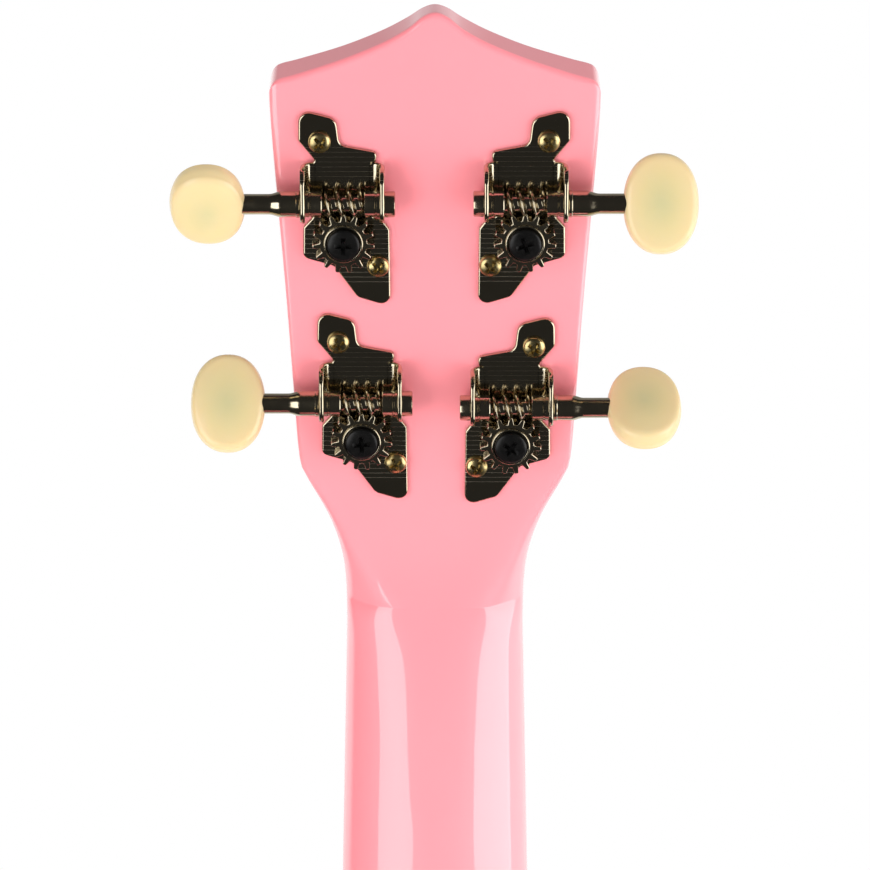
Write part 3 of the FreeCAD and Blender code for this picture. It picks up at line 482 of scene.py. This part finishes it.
pinkLacquer = makePinkLacquer()
creamPlastic = makeCreamPlastic()
nickelPlated = makeNickel("brightNickelPlate", nickel["metal"], nickel["dull"], nickel["turnedRoughness"])
stampedNickel = makeNickel("stampedNickelPlate", nickel["metal"], nickel["dull"], nickel["roughness"],
                           nickel["ruling"])
screwPlated = makeNickel("passivatedScrewPlate", "#dccb98", "#b8a26a", 0.26)
blackOxide = makeBlackOxide()
fretWire = makeNickel("drawnFretWire", "#cfcac0", "#b5afa3", 0.22)
darkWood = makeWood("oiledRosewood", "#4a2a1c", "#1c0f0a", 0.42, 1.6, 0.15)
bareWood = makeWood("sandedBasswood", "#d8b98a", "#b98f5e", 0.62, 2.2)
whitePlastic = makePlastic("mouldedUreaPlastic", "#efeadd", "#e6dfcd", 0.3, 6.0)
pearlPlastic = makePlastic("pearlCelluloid", "#f1f1ee", "#d9dde0", 0.2, 1.5, {"Coat Weight": 0.5})
nylonGut = makePlastic("drawnNylon", "#f2efe9", "#e6e1d8", 0.25, 3.0, {"Transmission Weight": 0.25})
slotMaterials = {
    "pink_lacquer": pinkLacquer,
    "bare_wood": bareWood,
    "dark_wood": darkWood,
    "rosette_ring": whitePlastic,
    "white_plastic": whitePlastic,
    "pearl_dot": pearlPlastic,
    "fret_wire": fretWire,
    "nickel_plate": nickelPlated,
    "screw_plated": screwPlated,
    "screw_black": blackOxide,
    "cream_plastic": creamPlastic,
    "nylon": nylonGut,
}
for entry in frame["record"]["subparts"]:
    node = nodes[entry["node"]]
    if not node.data.materials:
        node.data.materials.append(None)
    for index in range(len(node.data.materials)):
        node.data.materials[index] = slotMaterials[entry["material_slot"]]
print("materials made")


# ---- neck and headstock, one skin drawn section by section

neckShape = {
    "nutHalf": 17.7,
    "taper": 0.02,
    "depth": 15.5,
    "bodyTop": -173.0,
    "heelStart": -136.0,
    "edgeRadius": 1.3,
    "flareWidth": [(-6, 17.75), (0, 17.9), (4, 18.0), (8, 18.25), (11.6, 18.8), (15.9, 20.0), (20.2, 21.5),
                   (24.6, 23.6), (28.9, 25.7), (33.1, 26.8), (45.9, 27.7), (66.8, 29.0), (87.4, 30.5),
                   (103.6, 31.6), (112, 31.85), (135, 32.2)],
    "flatHalf": [(-16, 9.2), (-4, 8.9), (-1, 9.2), (4, 11.1), (9, 14.0), (16, 18.0),
                 (24, 22.6), (30, 26.2), (36, 27.6)],
    "wallHeight": [(-14, 7.2), (0, 7.8), (7, 9.2), (16, 11.1), (24, 12.4), (30, 13.6), (36, 15.0)],
    "squareness": [(-173, 2.35), (-160, 2.25), (-136, 2.15), (-60, 2.06), (-35, 2.08),
                   (-20, 2.2), (-10.4, 2.36), (-8.4, 2.5), (-6.4, 3.1), (-4.4, 4.6), (-2.4, 6.5), (1, 9.0), (5, 11.0),
                   (16, 14.0), (28, 20.0), (36, 26.0)],
    "blend": 0.7,
    "bevelFade": 0.03,
    "crispness": 16.0,
    "heelDepth": [(-173, 58.5), (-171.5, 50), (-168.5, 39), (-163.5, 29), (-156, 21.5), (-146, 18.3), (-136, 17.5)],
    "crownBack": [(45, 60), (34, 98), (32.0, 107.2), (31.5, 109.6), (30.7, 111.0), (29.4, 111.7),
                  (26.0, 112.7), (17.6, 115.6),
                  (10.3, 118.7), (5.4, 121.5), (2.4, 124.0), (0, 124.9)],
    "crownFront": [(45, 60), (34, 98), (32.0, 106.8), (31.5, 109.2), (30.7, 110.5), (29.4, 111.2),
                   (26.0, 112.1), (17.6, 114.7),
                   (10.3, 117.7), (5.4, 120.3), (2.4, 122.2), (0, 122.9)],
    "handWave": 0.24,
    "sanding": 22,
}


def sectionProfile(v, fan=0.0):
    # half section from the front edge round to the middle of the back: (x, depth)
    shape = neckShape
    half = shape["nutHalf"] - shape["taper"] * v if v < -6 else between(shape["flareWidth"], v)
    square = between(shape["squareness"], v)
    if v <= shape["heelStart"]:
        deep = between(shape["heelDepth"], v)
    elif v <= 0:
        deep = (shape["depth"] + (17.5 - shape["depth"]) * v / shape["heelStart"]) / math.cos(tilt * fan)
    else:
        rise = shape["depth"] / math.cos(tilt) - math.tan(tilt) * v
        flat = headstock["thickness"]
        blend = shape["blend"]
        deep = flat + blend * math.log(1 + math.exp((rise - flat) / blend))
    flatHalf = between(shape["flatHalf"], v)
    wall = between(shape["wallHeight"], v)
    normal = Vector((deep - wall, half - flatHalf))
    useBevel = v > -14 and normal.x > 0.05 and normal.y > 0.05
    if useBevel:
        normal.normalize()
        reach = (normal.x * half + normal.y * wall) * (1 + max(-v, 0.0) * shape["bevelFade"])
    edge = min(max(v / 6, 0.0), 1.0) * (shape["edgeRadius"] - 0.15) + 0.15
    crisp = shape["crispness"]
    dense = []
    startAngle = math.atan2(edge, half)
    steps = 260
    for step in range(steps + 1):
        angle = startAngle + (math.pi / 2 - startAngle) * step / steps
        c, s = max(math.cos(angle), 1e-9), math.sin(angle)
        size = ((c / half) ** square + (s / deep) ** square) ** (1 / square)
        if useBevel:
            size = (size ** crisp + ((normal.x * c + normal.y * s) / reach) ** crisp) ** (1 / crisp)
        radius = 1 / size
        if v < 4:
            fade = min(max((4 - v) / 14, 0.0), 1.0)
            wave = noise.noise(Vector((c * half * 0.07, v * 0.05, 3.1)))
            wave += 0.4 * noise.noise(Vector((c * half * 0.16, v * 0.13, 8.4)))
            radius += shape["handWave"] * fade * s * wave
        dense.append(Vector((radius * c, radius * s)))
    return half, edge, dense


def spreadPoints(dense, count, turnWeight):
    # picks points closer together where the line turns
    measure = [0.0]
    for index in range(1, len(dense)):
        step = dense[index] - dense[index - 1]
        turn = 0.0
        if index > 1:
            before = dense[index - 1] - dense[index - 2]
            turn = abs(before.angle(step, 0.0))
        measure.append(measure[-1] + step.length + turnWeight * turn)
    picked = []
    cursor = 0
    for k in range(count + 1):
        target = measure[-1] * k / count
        while cursor < len(measure) - 2 and measure[cursor + 1] < target:
            cursor += 1
        span = measure[cursor + 1] - measure[cursor]
        t = (target - measure[cursor]) / span if span else 0.0
        picked.append(dense[cursor].lerp(dense[cursor + 1], min(max(t, 0.0), 1.0)))
    return picked


def neckRing(v, fan=0.0):
    half, edge, dense = sectionProfile(v, fan)
    back = spreadPoints(dense, 46, 9.0)
    front = []
    for step in range(5):
        angle = math.pi / 2 * step / 4
        front.append(Vector((half - edge * (1 - math.sin(angle)), edge * (1 - math.cos(angle)))))
    inner = [Vector(((half - edge) * k / 5, 0.0)) for k in range(5)]
    side = inner + front[:-1] + back
    loop = side + [Vector((-p.x, p.y)) for p in reversed(side[1:-1])]
    if v < 0:
        base, deepAxis = Vector((0, 0, v)), Vector((0, 1, 0))
    elif fan < 1.0 and v == 0:
        angle = tilt * fan
        base, deepAxis = Vector((0, 0, 0)), Vector((0, math.cos(angle), -math.sin(angle)))
    else:
        base, deepAxis = upAxis * v, backAxis
    return [base + deepAxis * p.y + Vector((p.x, 0, 0)) for p in loop]


def makeNeck():
    rings = []
    v = neckShape["bodyTop"]
    while v < -0.01:
        rings.append(neckRing(v))
        if v < neckShape["heelStart"]:
            v += 1.2
        elif v < -14:
            v += 2.4
        else:
            v += 1.0
    for step in range(5):
        rings.append(neckRing(0.0, step / 4))
    v = 1.0
    while v < 132:
        rings.append(neckRing(v))
        v += 1.0 if v < 38 else 4.0
    # sanding rounds the turn from neck to headstock
    stations = [ring[0].z for ring in rings]
    for _ in range(neckShape["sanding"]):
        smoothed = [list(ring) for ring in rings]
        for index in range(1, len(rings) - 1):
            if -26 < stations[index] < 30:
                for k, point in enumerate(rings[index]):
                    smoothed[index][k] = point * 0.5 + (rings[index - 1][k] + rings[index + 1][k]) * 0.25
        rings = smoothed
    points, faces = bridgeRings(rings)
    piece = addPiece("neckAndHeadstock", points, faces, pinkLacquer, "instrument", ["neck"], sharp=50)
    # the crown is sawn across the end of the headstock and its two rims are rounded over
    lines = []
    for key in ("crownFront", "crownBack"):
        half = [Vector((x, u, 0)) for x, u in neckShape[key]]
        lines.append(smoothLine([Vector((-p.x, p.y, 0)) for p in half[:-1]] + list(reversed(half)), 6))
    thick = headstock["thickness"]
    rim = neckShape["edgeRadius"]
    depths = [-4.0] + [rim * (1 - math.cos(math.pi / 2 * k / 6)) for k in range(7)]
    depths += [thick - d for d in reversed(depths)]
    cutter = []
    for depth in reversed(depths):
        near = min(max(min(depth, thick - depth), 0.0), rim)
        drop = rim - math.sqrt(rim ** 2 - (rim - near) ** 2)
        ring = []
        for front, back in zip(*lines):
            p = front.lerp(back, depth / thick)
            ring.append(Vector((p.x, 0, 0)) + upAxis * (p.y - drop) + backAxis * depth)
        for x in (45, -45):
            ring.append(Vector((x, 0, 0)) + upAxis * 170 + backAxis * depth)
        cutter.append([point * mm for point in ring])
    cutPoints, cutFaces = bridgeRings(cutter)
    carve(piece, cutPoints, cutFaces)
    piece.data.polygons.foreach_set("use_smooth", [True] * len(piece.data.polygons))
    piece.data.set_sharp_from_angle(angle=math.radians(50))
    evenNormals(piece)
    return piece


makeNeck()
print("neck made")


# ---- tuning machines

plateShape = {
    "corners": [
        (-8.5, 25.6, 2.0), (-1.3, 23.7, 2.2), (-0.7, 18.4, 1.8), (6.6, 17.0, 1.0), (6.2, 15.0, 0.5),
        (5.6, 15.0, 0), (5.6, 4.1, 0), (6.0, 3.7, 0.5), (7.3, 3.5, 0.7), (8.85, 1.4, 0.8), (9.0, -14.6, 1.8),
        (2.6, -12.6, 2.0), (-1.9, -6.2, 1.6), (-7.9, -4.4, 1.4), (-7.8, 1.8, 0.8), (-6.2, 3.6, 0.5),
        (-5.9, 4.1, 0), (-5.9, 15.0, 0), (-5.4, 15.4, 0.5), (-8.6, 19.4, 1.2),
    ],
    "thick": 1.0,
    "edge": 0.4,
    "earOuter": 7.3,
    "earInner": 7.0,
    "earThick": 0.95,
    "bend": 1.4,
    "earLow": 4.1,
    "earHigh": 15.0,
    "earTop": 7.1,
    "nearRound": 2.6,
    "farRound": 4.6,
}
screwSpots = [(-4.5, 19.3), (6.6, -6.0)]


def earPart(flip, sign, face):
    # an upright ear with a rolled rim, swept along the edge it is folded from
    shape = plateShape
    thick = shape["earThick"] / 2
    bend = shape["bend"] + thick
    centreX = face - shape["bend"]
    centreZ = shape["thick"] + shape["bend"]
    rings = []
    steps = 44
    for step in range(steps + 1):
        share = 0.5 - 0.5 * math.cos(math.pi * step / steps)
        y = shape["earLow"] + (shape["earHigh"] - shape["earLow"]) * share
        top = shape["earTop"]
        near = shape["earLow"] + shape["nearRound"] - y
        far = y - (shape["earHigh"] - shape["farRound"])
        if near > 0:
            top -= shape["nearRound"] - math.sqrt(max(shape["nearRound"] ** 2 - near ** 2, 0))
        if far > 0:
            top -= shape["farRound"] - math.sqrt(max(shape["farRound"] ** 2 - far ** 2, 0))
        rim = min(y - shape["earLow"], shape["earHigh"] - y, thick)
        half = thick * math.sqrt(max(1 - (1 - rim / thick) ** 2, 0.0004))
        tip = max(top - half, centreZ)
        middle = [(Vector((centreX - 0.6, shape["thick"] - thick)), Vector((0, 1)))]
        for k in range(7):
            angle = math.pi / 2 * k / 6
            outward = Vector((math.sin(angle), -math.cos(angle)))
            middle.append((Vector((centreX, centreZ)) + outward * bend, -outward))
        middle.append((Vector((face + thick, tip)), Vector((-1, 0))))
        inner = [p + n * half for p, n in middle]
        outer = [p - n * half for p, n in middle]
        cap = []
        for k in range(1, 8):
            angle = math.pi * k / 8
            cap.append(Vector((face + thick - math.cos(angle) * half, tip + math.sin(angle) * half)))
        loop = inner + cap + outer[::-1]
        rings.append([Vector((flip * sign * p.x, y, p.y)) for p in loop])
    return bridgeRings(rings)


def makePlate(name, machine):
    shape = plateShape
    flip = machine["side"]
    outline = roundedLoop([(flip * x, y, radius) for x, y, radius in shape["corners"]])
    base = roundedSlab(outline, 0.0, shape["thick"], shape["edge"])
    left = earPart(flip, -1, shape["earOuter"])
    right = earPart(flip, 1, shape["earInner"])
    points, faces = joinParts(base, left, right)
    piece = addPiece(
        "tunerPlate_" + name, points, faces, stampedNickel, "instrument", ["tuner_plate_" + name],
        machineFrame(machine), 40)
    evenNormals(piece)
    # the hairlines are ruled in the plate's own millimetres
    back = machineFrame(machine).inverted()
    space = piece.data.attributes.new("plateSpace", "FLOAT_VECTOR", "POINT")
    values = []
    for vertex in piece.data.vertices:
        values += list(back @ (vertex.co / mm))
    space.data.foreach_set("vector", values)
    return piece


gearShape = {
    "teeth": 15,
    "tip": 6.0,
    "root": 4.6,
    "base": 2.2,
    "top": 5.2,
    "tipHalf": 0.36,
    "rootHalf": 0.60,
    "hub": 3.8,
    "hubTop": 5.7,
    "recess": 3.25,
}


def makeGear(name, machine):
    shape = gearShape
    outline = []
    for tooth in range(shape["teeth"]):
        middle = math.pi / 2 + 2 * math.pi * tooth / shape["teeth"]
        for radius, half in (
            (shape["root"], -shape["rootHalf"]), (shape["tip"] - 0.18, -shape["tipHalf"] - 0.05),
            (shape["tip"], -shape["tipHalf"] + 0.12), (shape["tip"], shape["tipHalf"] - 0.12),
            (shape["tip"] - 0.18, shape["tipHalf"] + 0.05), (shape["root"], shape["rootHalf"]),
        ):
            angle = middle + half / radius
            outline.append(Vector((radius * math.cos(angle), radius * math.sin(angle))))
    rim = roundedSlab(outline, shape["base"], shape["top"], 0.22, 4)
    bead = (shape["hub"] - shape["recess"]) / 2
    profile = [(0, 1.1), (shape["hub"] - 0.15, 1.1), (shape["hub"], 1.25)]
    for k in range(9):
        angle = math.pi * k / 8
        across = shape["recess"] + bead * (1 + math.cos(angle))
        profile.append((across, shape["hubTop"] - bead * (1 - math.sin(angle))))
    hub = lathe(profile + [(shape["recess"] - 0.1, 5.3), (0, 5.3)], 72)
    points, faces = joinParts(rim, hub)
    piece = addPiece("wormWheel_" + name, points, faces, nickelPlated, "post_" + name, ["gear_" + name],
                     machineFrame(machine), 40)
    evenNormals(piece)
    return piece


wormShape = {
    "offset": 7.7,
    "height": 4.1,
    "tip": 2.6,
    "root": 1.6,
    "shaft": 2.5,
    "stem": 1.98,
    "lead": 2 * math.pi * 5.5 / 15,
    "turns": 3.0,
}


def threadHeight(z, angle):
    shape = wormShape
    position = z / shape["lead"] - angle / (2 * math.pi) + 0.5
    away = abs(position - math.floor(position) - 0.5) * shape["lead"]
    rise = math.cos(math.pi / 2 * min(away / 0.74, 1.0)) ** 1.6
    fade = min(max((shape["lead"] * shape["turns"] / 2 + 0.45 - abs(z)) / 0.35, 0.0), 1.0)
    return rise * fade


def makeWorm(name, machine):
    shape = wormShape
    steps = 56
    half = shape["lead"] * shape["turns"] / 2
    thick = shape["shaft"]
    turned = [
        (-10.0, 0), (-10.0, thick - 0.35), (-9.9, thick - 0.1), (-9.7, thick), (-8.05, thick),
        (-6.95, thick), (-6.5, thick), (-6.4, thick - 0.14), (-6.15, thick - 0.14), (-6.05, thick),
        (-half - 0.75, thick), (-half - 0.6, thick - 0.12), (-half - 0.5, shape["root"] + 0.1),
    ]
    z = -half - 0.45
    while z < half + 0.45:
        turned.append((z, shape["root"]))
        z += 0.075
    turned += [
        (half + 0.5, shape["root"] + 0.1), (half + 0.6, thick - 0.12), (half + 0.75, thick),
        (6.2, thick), (6.3, thick - 0.14), (6.55, thick - 0.14), (6.65, thick), (8.3, thick), (8.45, thick + 0.12),
        (8.9, thick + 0.12), (9.05, thick), (11.8, thick),
    ]
    for k in range(1, 9):
        share = k / 8
        turned.append((11.8 + 2.4 * share, thick - (thick - shape["stem"]) * share * share * (3 - 2 * share)))
    turned += [(26.4, shape["stem"]), (26.4, 0)]
    rings = []
    for z, radius in turned:
        ring = []
        for k in range(steps):
            angle = 2 * math.pi * k / steps
            reach = max(radius, 1e-4)
            if abs(z) < half + 0.46:
                reach += (shape["tip"] - shape["root"]) * threadHeight(z, angle)
            ring.append(Vector((reach * math.cos(angle), reach * math.sin(angle), z)))
        rings.append(ring)
    points, faces = bridgeRings(rings)
    outward = Vector((-machine["side"], 0, 0))
    toGear = Vector((0, -1, 0))
    turn = Matrix((toGear, outward.cross(toGear), outward)).transposed()
    return addPiece(
        "wormShaft_" + name, points, faces, nickelPlated, "worm_" + name, ["worm_" + name],
        machineFrame(machine, 0, shape["offset"], shape["height"], turn), 34)


buttonShape = {
    "across": 14.5,
    "tall": 19.4,
    "thick": 6.0,
    "edge": 1.25,
    "dome": 0.55,
    "bulge": 0.25,
    "centre": 26.0,
    "squareness": 2.2,
}


def makeButton(name, machine):
    shape = buttonShape
    a, b = shape["across"] / 2 - shape["bulge"], shape["tall"] / 2 - shape["bulge"]
    half = shape["thick"] / 2
    edge = shape["edge"]
    steps = 96

    def ovalRing(inset, shrink, z):
        ring = []
        for k in range(steps):
            angle = 2 * math.pi * k / steps
            c, s = math.cos(angle), math.sin(angle)
            power = 2 / shape["squareness"]
            x = math.copysign(abs(c) ** power, c) * (a - inset) * shrink
            y = math.copysign(abs(s) ** power, s) * (b - inset) * shrink
            ring.append(Vector((x, y, z)))
        return ring

    upper = []
    rim = half - shape["dome"]
    for share in (0.001, 0.12, 0.25, 0.4, 0.55, 0.7, 0.82, 0.91, 0.97):
        upper.append((edge, share, half - shape["dome"] * share ** 2.6))
    startAngle = 0.26
    for k in range(11):
        angle = startAngle + (math.pi / 2 - startAngle) * k / 10
        inset = edge * (1 - math.sin(angle)) / (1 - math.sin(startAngle))
        upper.append((inset, 1.0, rim - edge * (math.cos(startAngle) - math.cos(angle))))
    low = upper[-1][2]
    wall = []
    for k in range(1, 4):
        z = low * (1 - k / 4)
        wall.append((-shape["bulge"] * math.cos(math.pi / 2 * z / low), 1.0, z))
    top = upper + wall
    profile = top + [(-shape["bulge"], 1.0, 0.0)] + [(i, s, -z) for i, s, z in reversed(top)]
    rings = [ovalRing(*entry) for entry in profile]
    points, faces = bridgeRings(rings)
    turn = Matrix.Rotation(math.radians(-machine["turn"]), 3, "X")
    place = machineFrame(machine, 0, wormShape["offset"], wormShape["height"], turn)
    place = place @ Matrix.Translation((-machine["side"] * shape["centre"], 0, 0))
    piece = addPiece("buttonOval_" + name, points, faces, creamPlastic, "worm_" + name, ["button_" + name],
                     place, 60)
    # mask for the painted reflection: 0 in the middle of each face, rising to 1 at the rim and over the sides
    reach = piece.data.attributes.new("paintedReflectionFromMiddle", "FLOAT", "POINT")
    back = place.inverted()
    values = []
    for vertex in piece.data.vertices:
        local = back @ (vertex.co / mm)
        values.append(min(1.0, math.hypot(local.x / (a - edge * 0.5), local.y / (b - edge * 0.5))))
    reach.data.foreach_set("value", values)
    return piece


def domeHead(radius, base, side, top):
    profile = [(0, base), (radius - 0.06, base), (radius, base + 0.06), (radius, side)]
    rise = top - side
    for k in range(1, 11):
        angle = math.pi / 2 * k / 10
        profile.append((radius * math.cos(angle) ** 0.9 if k < 10 else 0, side + rise * math.sin(angle)))
    return lathe(profile, 64)


def crossCutter(place, span, top, deep):
    # a four-winged recess, wider at its mouth
    parts = []
    for turn in (0.0, math.pi / 2):
        rings = []
        for z, wide, thin in ((top - deep, span * 0.22, span * 0.075), (top + 0.5, span * 0.58, span * 0.13)):
            ring = []
            for x, y in ((-wide, -thin), (wide, -thin), (wide, thin), (-wide, thin)):
                c, s = math.cos(turn), math.sin(turn)
                ring.append(place @ Vector((x * c - y * s, x * s + y * c, z)) * mm)
            rings.append(ring)
        parts.append(bridgeRings(rings))
    return parts


def makeScrew(name, material, body, replaced, place, head, cross):
    points, faces = domeHead(*head)
    piece = addPiece(name, points, faces, material, body, replaced, place, 45)
    for cutPoints, cutFaces in crossCutter(place, cross, head[3], 0.95):
        carve(piece, cutPoints, cutFaces)
    piece.data.polygons.foreach_set("use_smooth", [True] * len(piece.data.polygons))
    piece.data.set_sharp_from_angle(angle=math.radians(35))
    return piece


for name, machine in machines.items():
    makePlate(name, machine)
    makeGear(name, machine)
    makeWorm(name, machine)
    makeButton(name, machine)
    screwTurn = Matrix.Rotation(0.3 + machine["x"], 3, "Z")
    makeScrew("wheelScrew_" + name, blackOxide, "post_" + name, ["gear_screw_" + name],
              machineFrame(machine, rotation=screwTurn), (3.1, 5.25, 6.2, 6.8), 4.0)
    for index, (x, y) in enumerate(screwSpots):
        turn = Matrix.Rotation(0.5 + 1.7 * index + machine["height"], 3, "Z")
        place = machineFrame(machine, machine["side"] * x, y, 0.0, turn)
        makeScrew(f"plateScrew_{name}_{index + 1}", screwPlated, "instrument", ["plate_screws"],
                  place, (2.15, 0.95, 1.5, 2.45), 3.3)
print("machines made")


# ---- studio

studio = {
    "aim": (0.0, 0.0155, 0.03321),
    "elevation": 8.5,
    "distance": 0.9,
    "lens": 188.07,
    "floorHeight": -0.46,
    "floorRadius": 1.4,
    "floorGlow": 0.35,
    # azimuth in degrees from the camera side, height, width and tallness in metres, brightness
    "boxes": {
        "softboxLeft": (46, -0.11, 0.72, 0.92, 2.4),
        "softboxRight": (-73, -0.11, 1.05, 0.92, 2.7),
    },
    "cards": {
        "cardLeft": (38, -0.40, 0.5, 0.5, 4.7, 1.1),
        "cardRight": (-38, -0.40, 0.5, 0.5, 4.7, 1.1),
    },
    "ceilingHeight": 1.0,
    "ceilingSize": 0.6,
    "ceilingOffset": 0.25,
    "ceilingBrightness": 3.2,
    "roomDark": 0.03,
    "roomFill": 0.5,
    "backPaper": 1.0,
    "abovePaper": 0.27,
    "paperMiddle": 192.5,
}


def makeLamp(name, azimuth, height, width, tall, radiance, distance=0.95):
    aim = Vector(studio["aim"])
    angle = math.radians(azimuth)
    lamp = bpy.data.lights.new(name, "AREA")
    lamp.shape = "RECTANGLE"
    lamp.size = width
    lamp.size_y = tall
    lamp.energy = radiance * math.pi * width * tall
    box = bpy.data.objects.new(name, lamp)
    box.location = aim + Vector((math.sin(angle) * distance, math.cos(angle) * distance, height))
    direction = Vector((box.location.x - aim.x, box.location.y - aim.y, 0))
    box.rotation_euler = direction.to_track_quat("Z", "Y").to_euler()
    box.visible_camera = False
    bpy.context.scene.collection.objects.link(box)
    return box


def makeStudio():
    scene = bpy.context.scene
    aim = Vector(studio["aim"])
    rise = math.radians(studio["elevation"])
    spot = aim + Vector((0, math.cos(rise), math.sin(rise))) * studio["distance"]
    cameraData = bpy.data.cameras.new("camera")
    cameraData.lens = studio["lens"]
    cameraData.sensor_width = 36
    camera = bpy.data.objects.new("camera", cameraData)
    camera.location = spot
    camera.rotation_euler = (aim - spot).to_track_quat("-Z", "Y").to_euler()
    scene.collection.objects.link(camera)
    scene.camera = camera

    # two tall soft boxes, and two low white cards that only lift the shade
    for name, (azimuth, height, width, tall, radiance) in studio["boxes"].items():
        makeLamp(name, azimuth, height, width, tall, radiance)
    for name, numbers in studio["cards"].items():
        makeLamp(name, *numbers).visible_glossy = False

    # a lamp overhead, a little to one side, lights the end of the headstock and little else
    overhead = makeLamp("ceiling", -90, studio["ceilingHeight"], studio["ceilingSize"], studio["ceilingSize"],
                        studio["ceilingBrightness"], studio["ceilingOffset"])
    overhead.rotation_euler = (0, 0, 0)
    overhead.visible_glossy = False

    # pale floor well below the hanging instrument
    floorMesh = bpy.data.meshes.new("floor")
    sides = 120
    turns = [2 * math.pi * k / sides for k in range(sides)]
    rim = [(studio["floorRadius"] * math.cos(a), studio["floorRadius"] * math.sin(a), 0) for a in turns]
    floorMesh.from_pydata(rim, [], [tuple(range(sides))])
    floor = bpy.data.objects.new("floor", floorMesh)
    floor.location = (0, 0, studio["floorHeight"])
    scene.collection.objects.link(floor)
    paper, tree, shader, place = newMaterial("paleStudioPaper", {
        "Roughness": 0.9, "Emission Color": (1, 1, 1, 1), "Emission Strength": studio["floorGlow"],
    })
    tone = addNode(tree, "ShaderNodeTexNoise", {"Scale": 3.0}, {"Vector": place})
    mix = addNode(tree, "ShaderNodeMix", {
        "data_type": "RGBA", 6: linearColour("#f4f3f1"), 7: linearColour("#f9f8f6"),
    }, {0: tone.outputs["Fac"]})
    tree.links.new(mix.outputs[2], shader.inputs["Base Color"])
    floorMesh.materials.append(paper)
    floor.visible_glossy = False

    # white paper behind the instrument, dimmer above it, and a dark room on the camera's side
    world = bpy.data.worlds.new("studioRoom")
    scene.world = world
    world.use_nodes = True
    tree = world.node_tree
    tree.nodes.clear()
    path = addNode(tree, "ShaderNodeLightPath")
    place = addNode(tree, "ShaderNodeTexCoord")
    axes = addNode(tree, "ShaderNodeSeparateXYZ", {}, {0: place.outputs["Generated"]})
    middle = math.radians(studio["paperMiddle"])
    heading = (math.sin(middle), math.cos(middle), 0)
    toward = addNode(tree, "ShaderNodeVectorMath", {"operation": "DOT_PRODUCT", 1: heading},
                     {0: place.outputs["Generated"]})
    wide = addNode(tree, "ShaderNodeMapRange", {"From Min": 0.3, "From Max": 0.46},
                   {"Value": toward.outputs["Value"]})
    tall = addNode(tree, "ShaderNodeMapRange",
                   {"From Min": 0.3, "From Max": 0.03, "To Min": studio["abovePaper"]}, {"Value": axes.outputs["Z"]})
    behind = addNode(tree, "ShaderNodeMath", {"operation": "MULTIPLY"},
                     {0: wide.outputs["Result"], 1: tall.outputs["Result"]})
    room = addNode(tree, "ShaderNodeMix", {"data_type": "FLOAT", 2: studio["roomDark"], 3: studio["roomFill"]},
                   {0: path.outputs["Is Diffuse Ray"]})
    level = addNode(tree, "ShaderNodeMix", {"data_type": "FLOAT", 3: studio["backPaper"]},
                    {0: behind.outputs[0], 2: room.outputs[0]})
    seen = addNode(tree, "ShaderNodeMath", {"operation": "MAXIMUM"},
                   {0: path.outputs["Is Camera Ray"], 1: level.outputs[0]})
    paper = addNode(tree, "ShaderNodeBackground", {"Color": (1, 1, 1, 1)}, {"Strength": seen.outputs[0]})
    addNode(tree, "ShaderNodeOutputWorld", {}, {"Surface": paper.outputs[0]})
    scene.view_settings.view_transform = "Standard"
    scene.view_settings.look = "None"


makeStudio()
print("studio made")
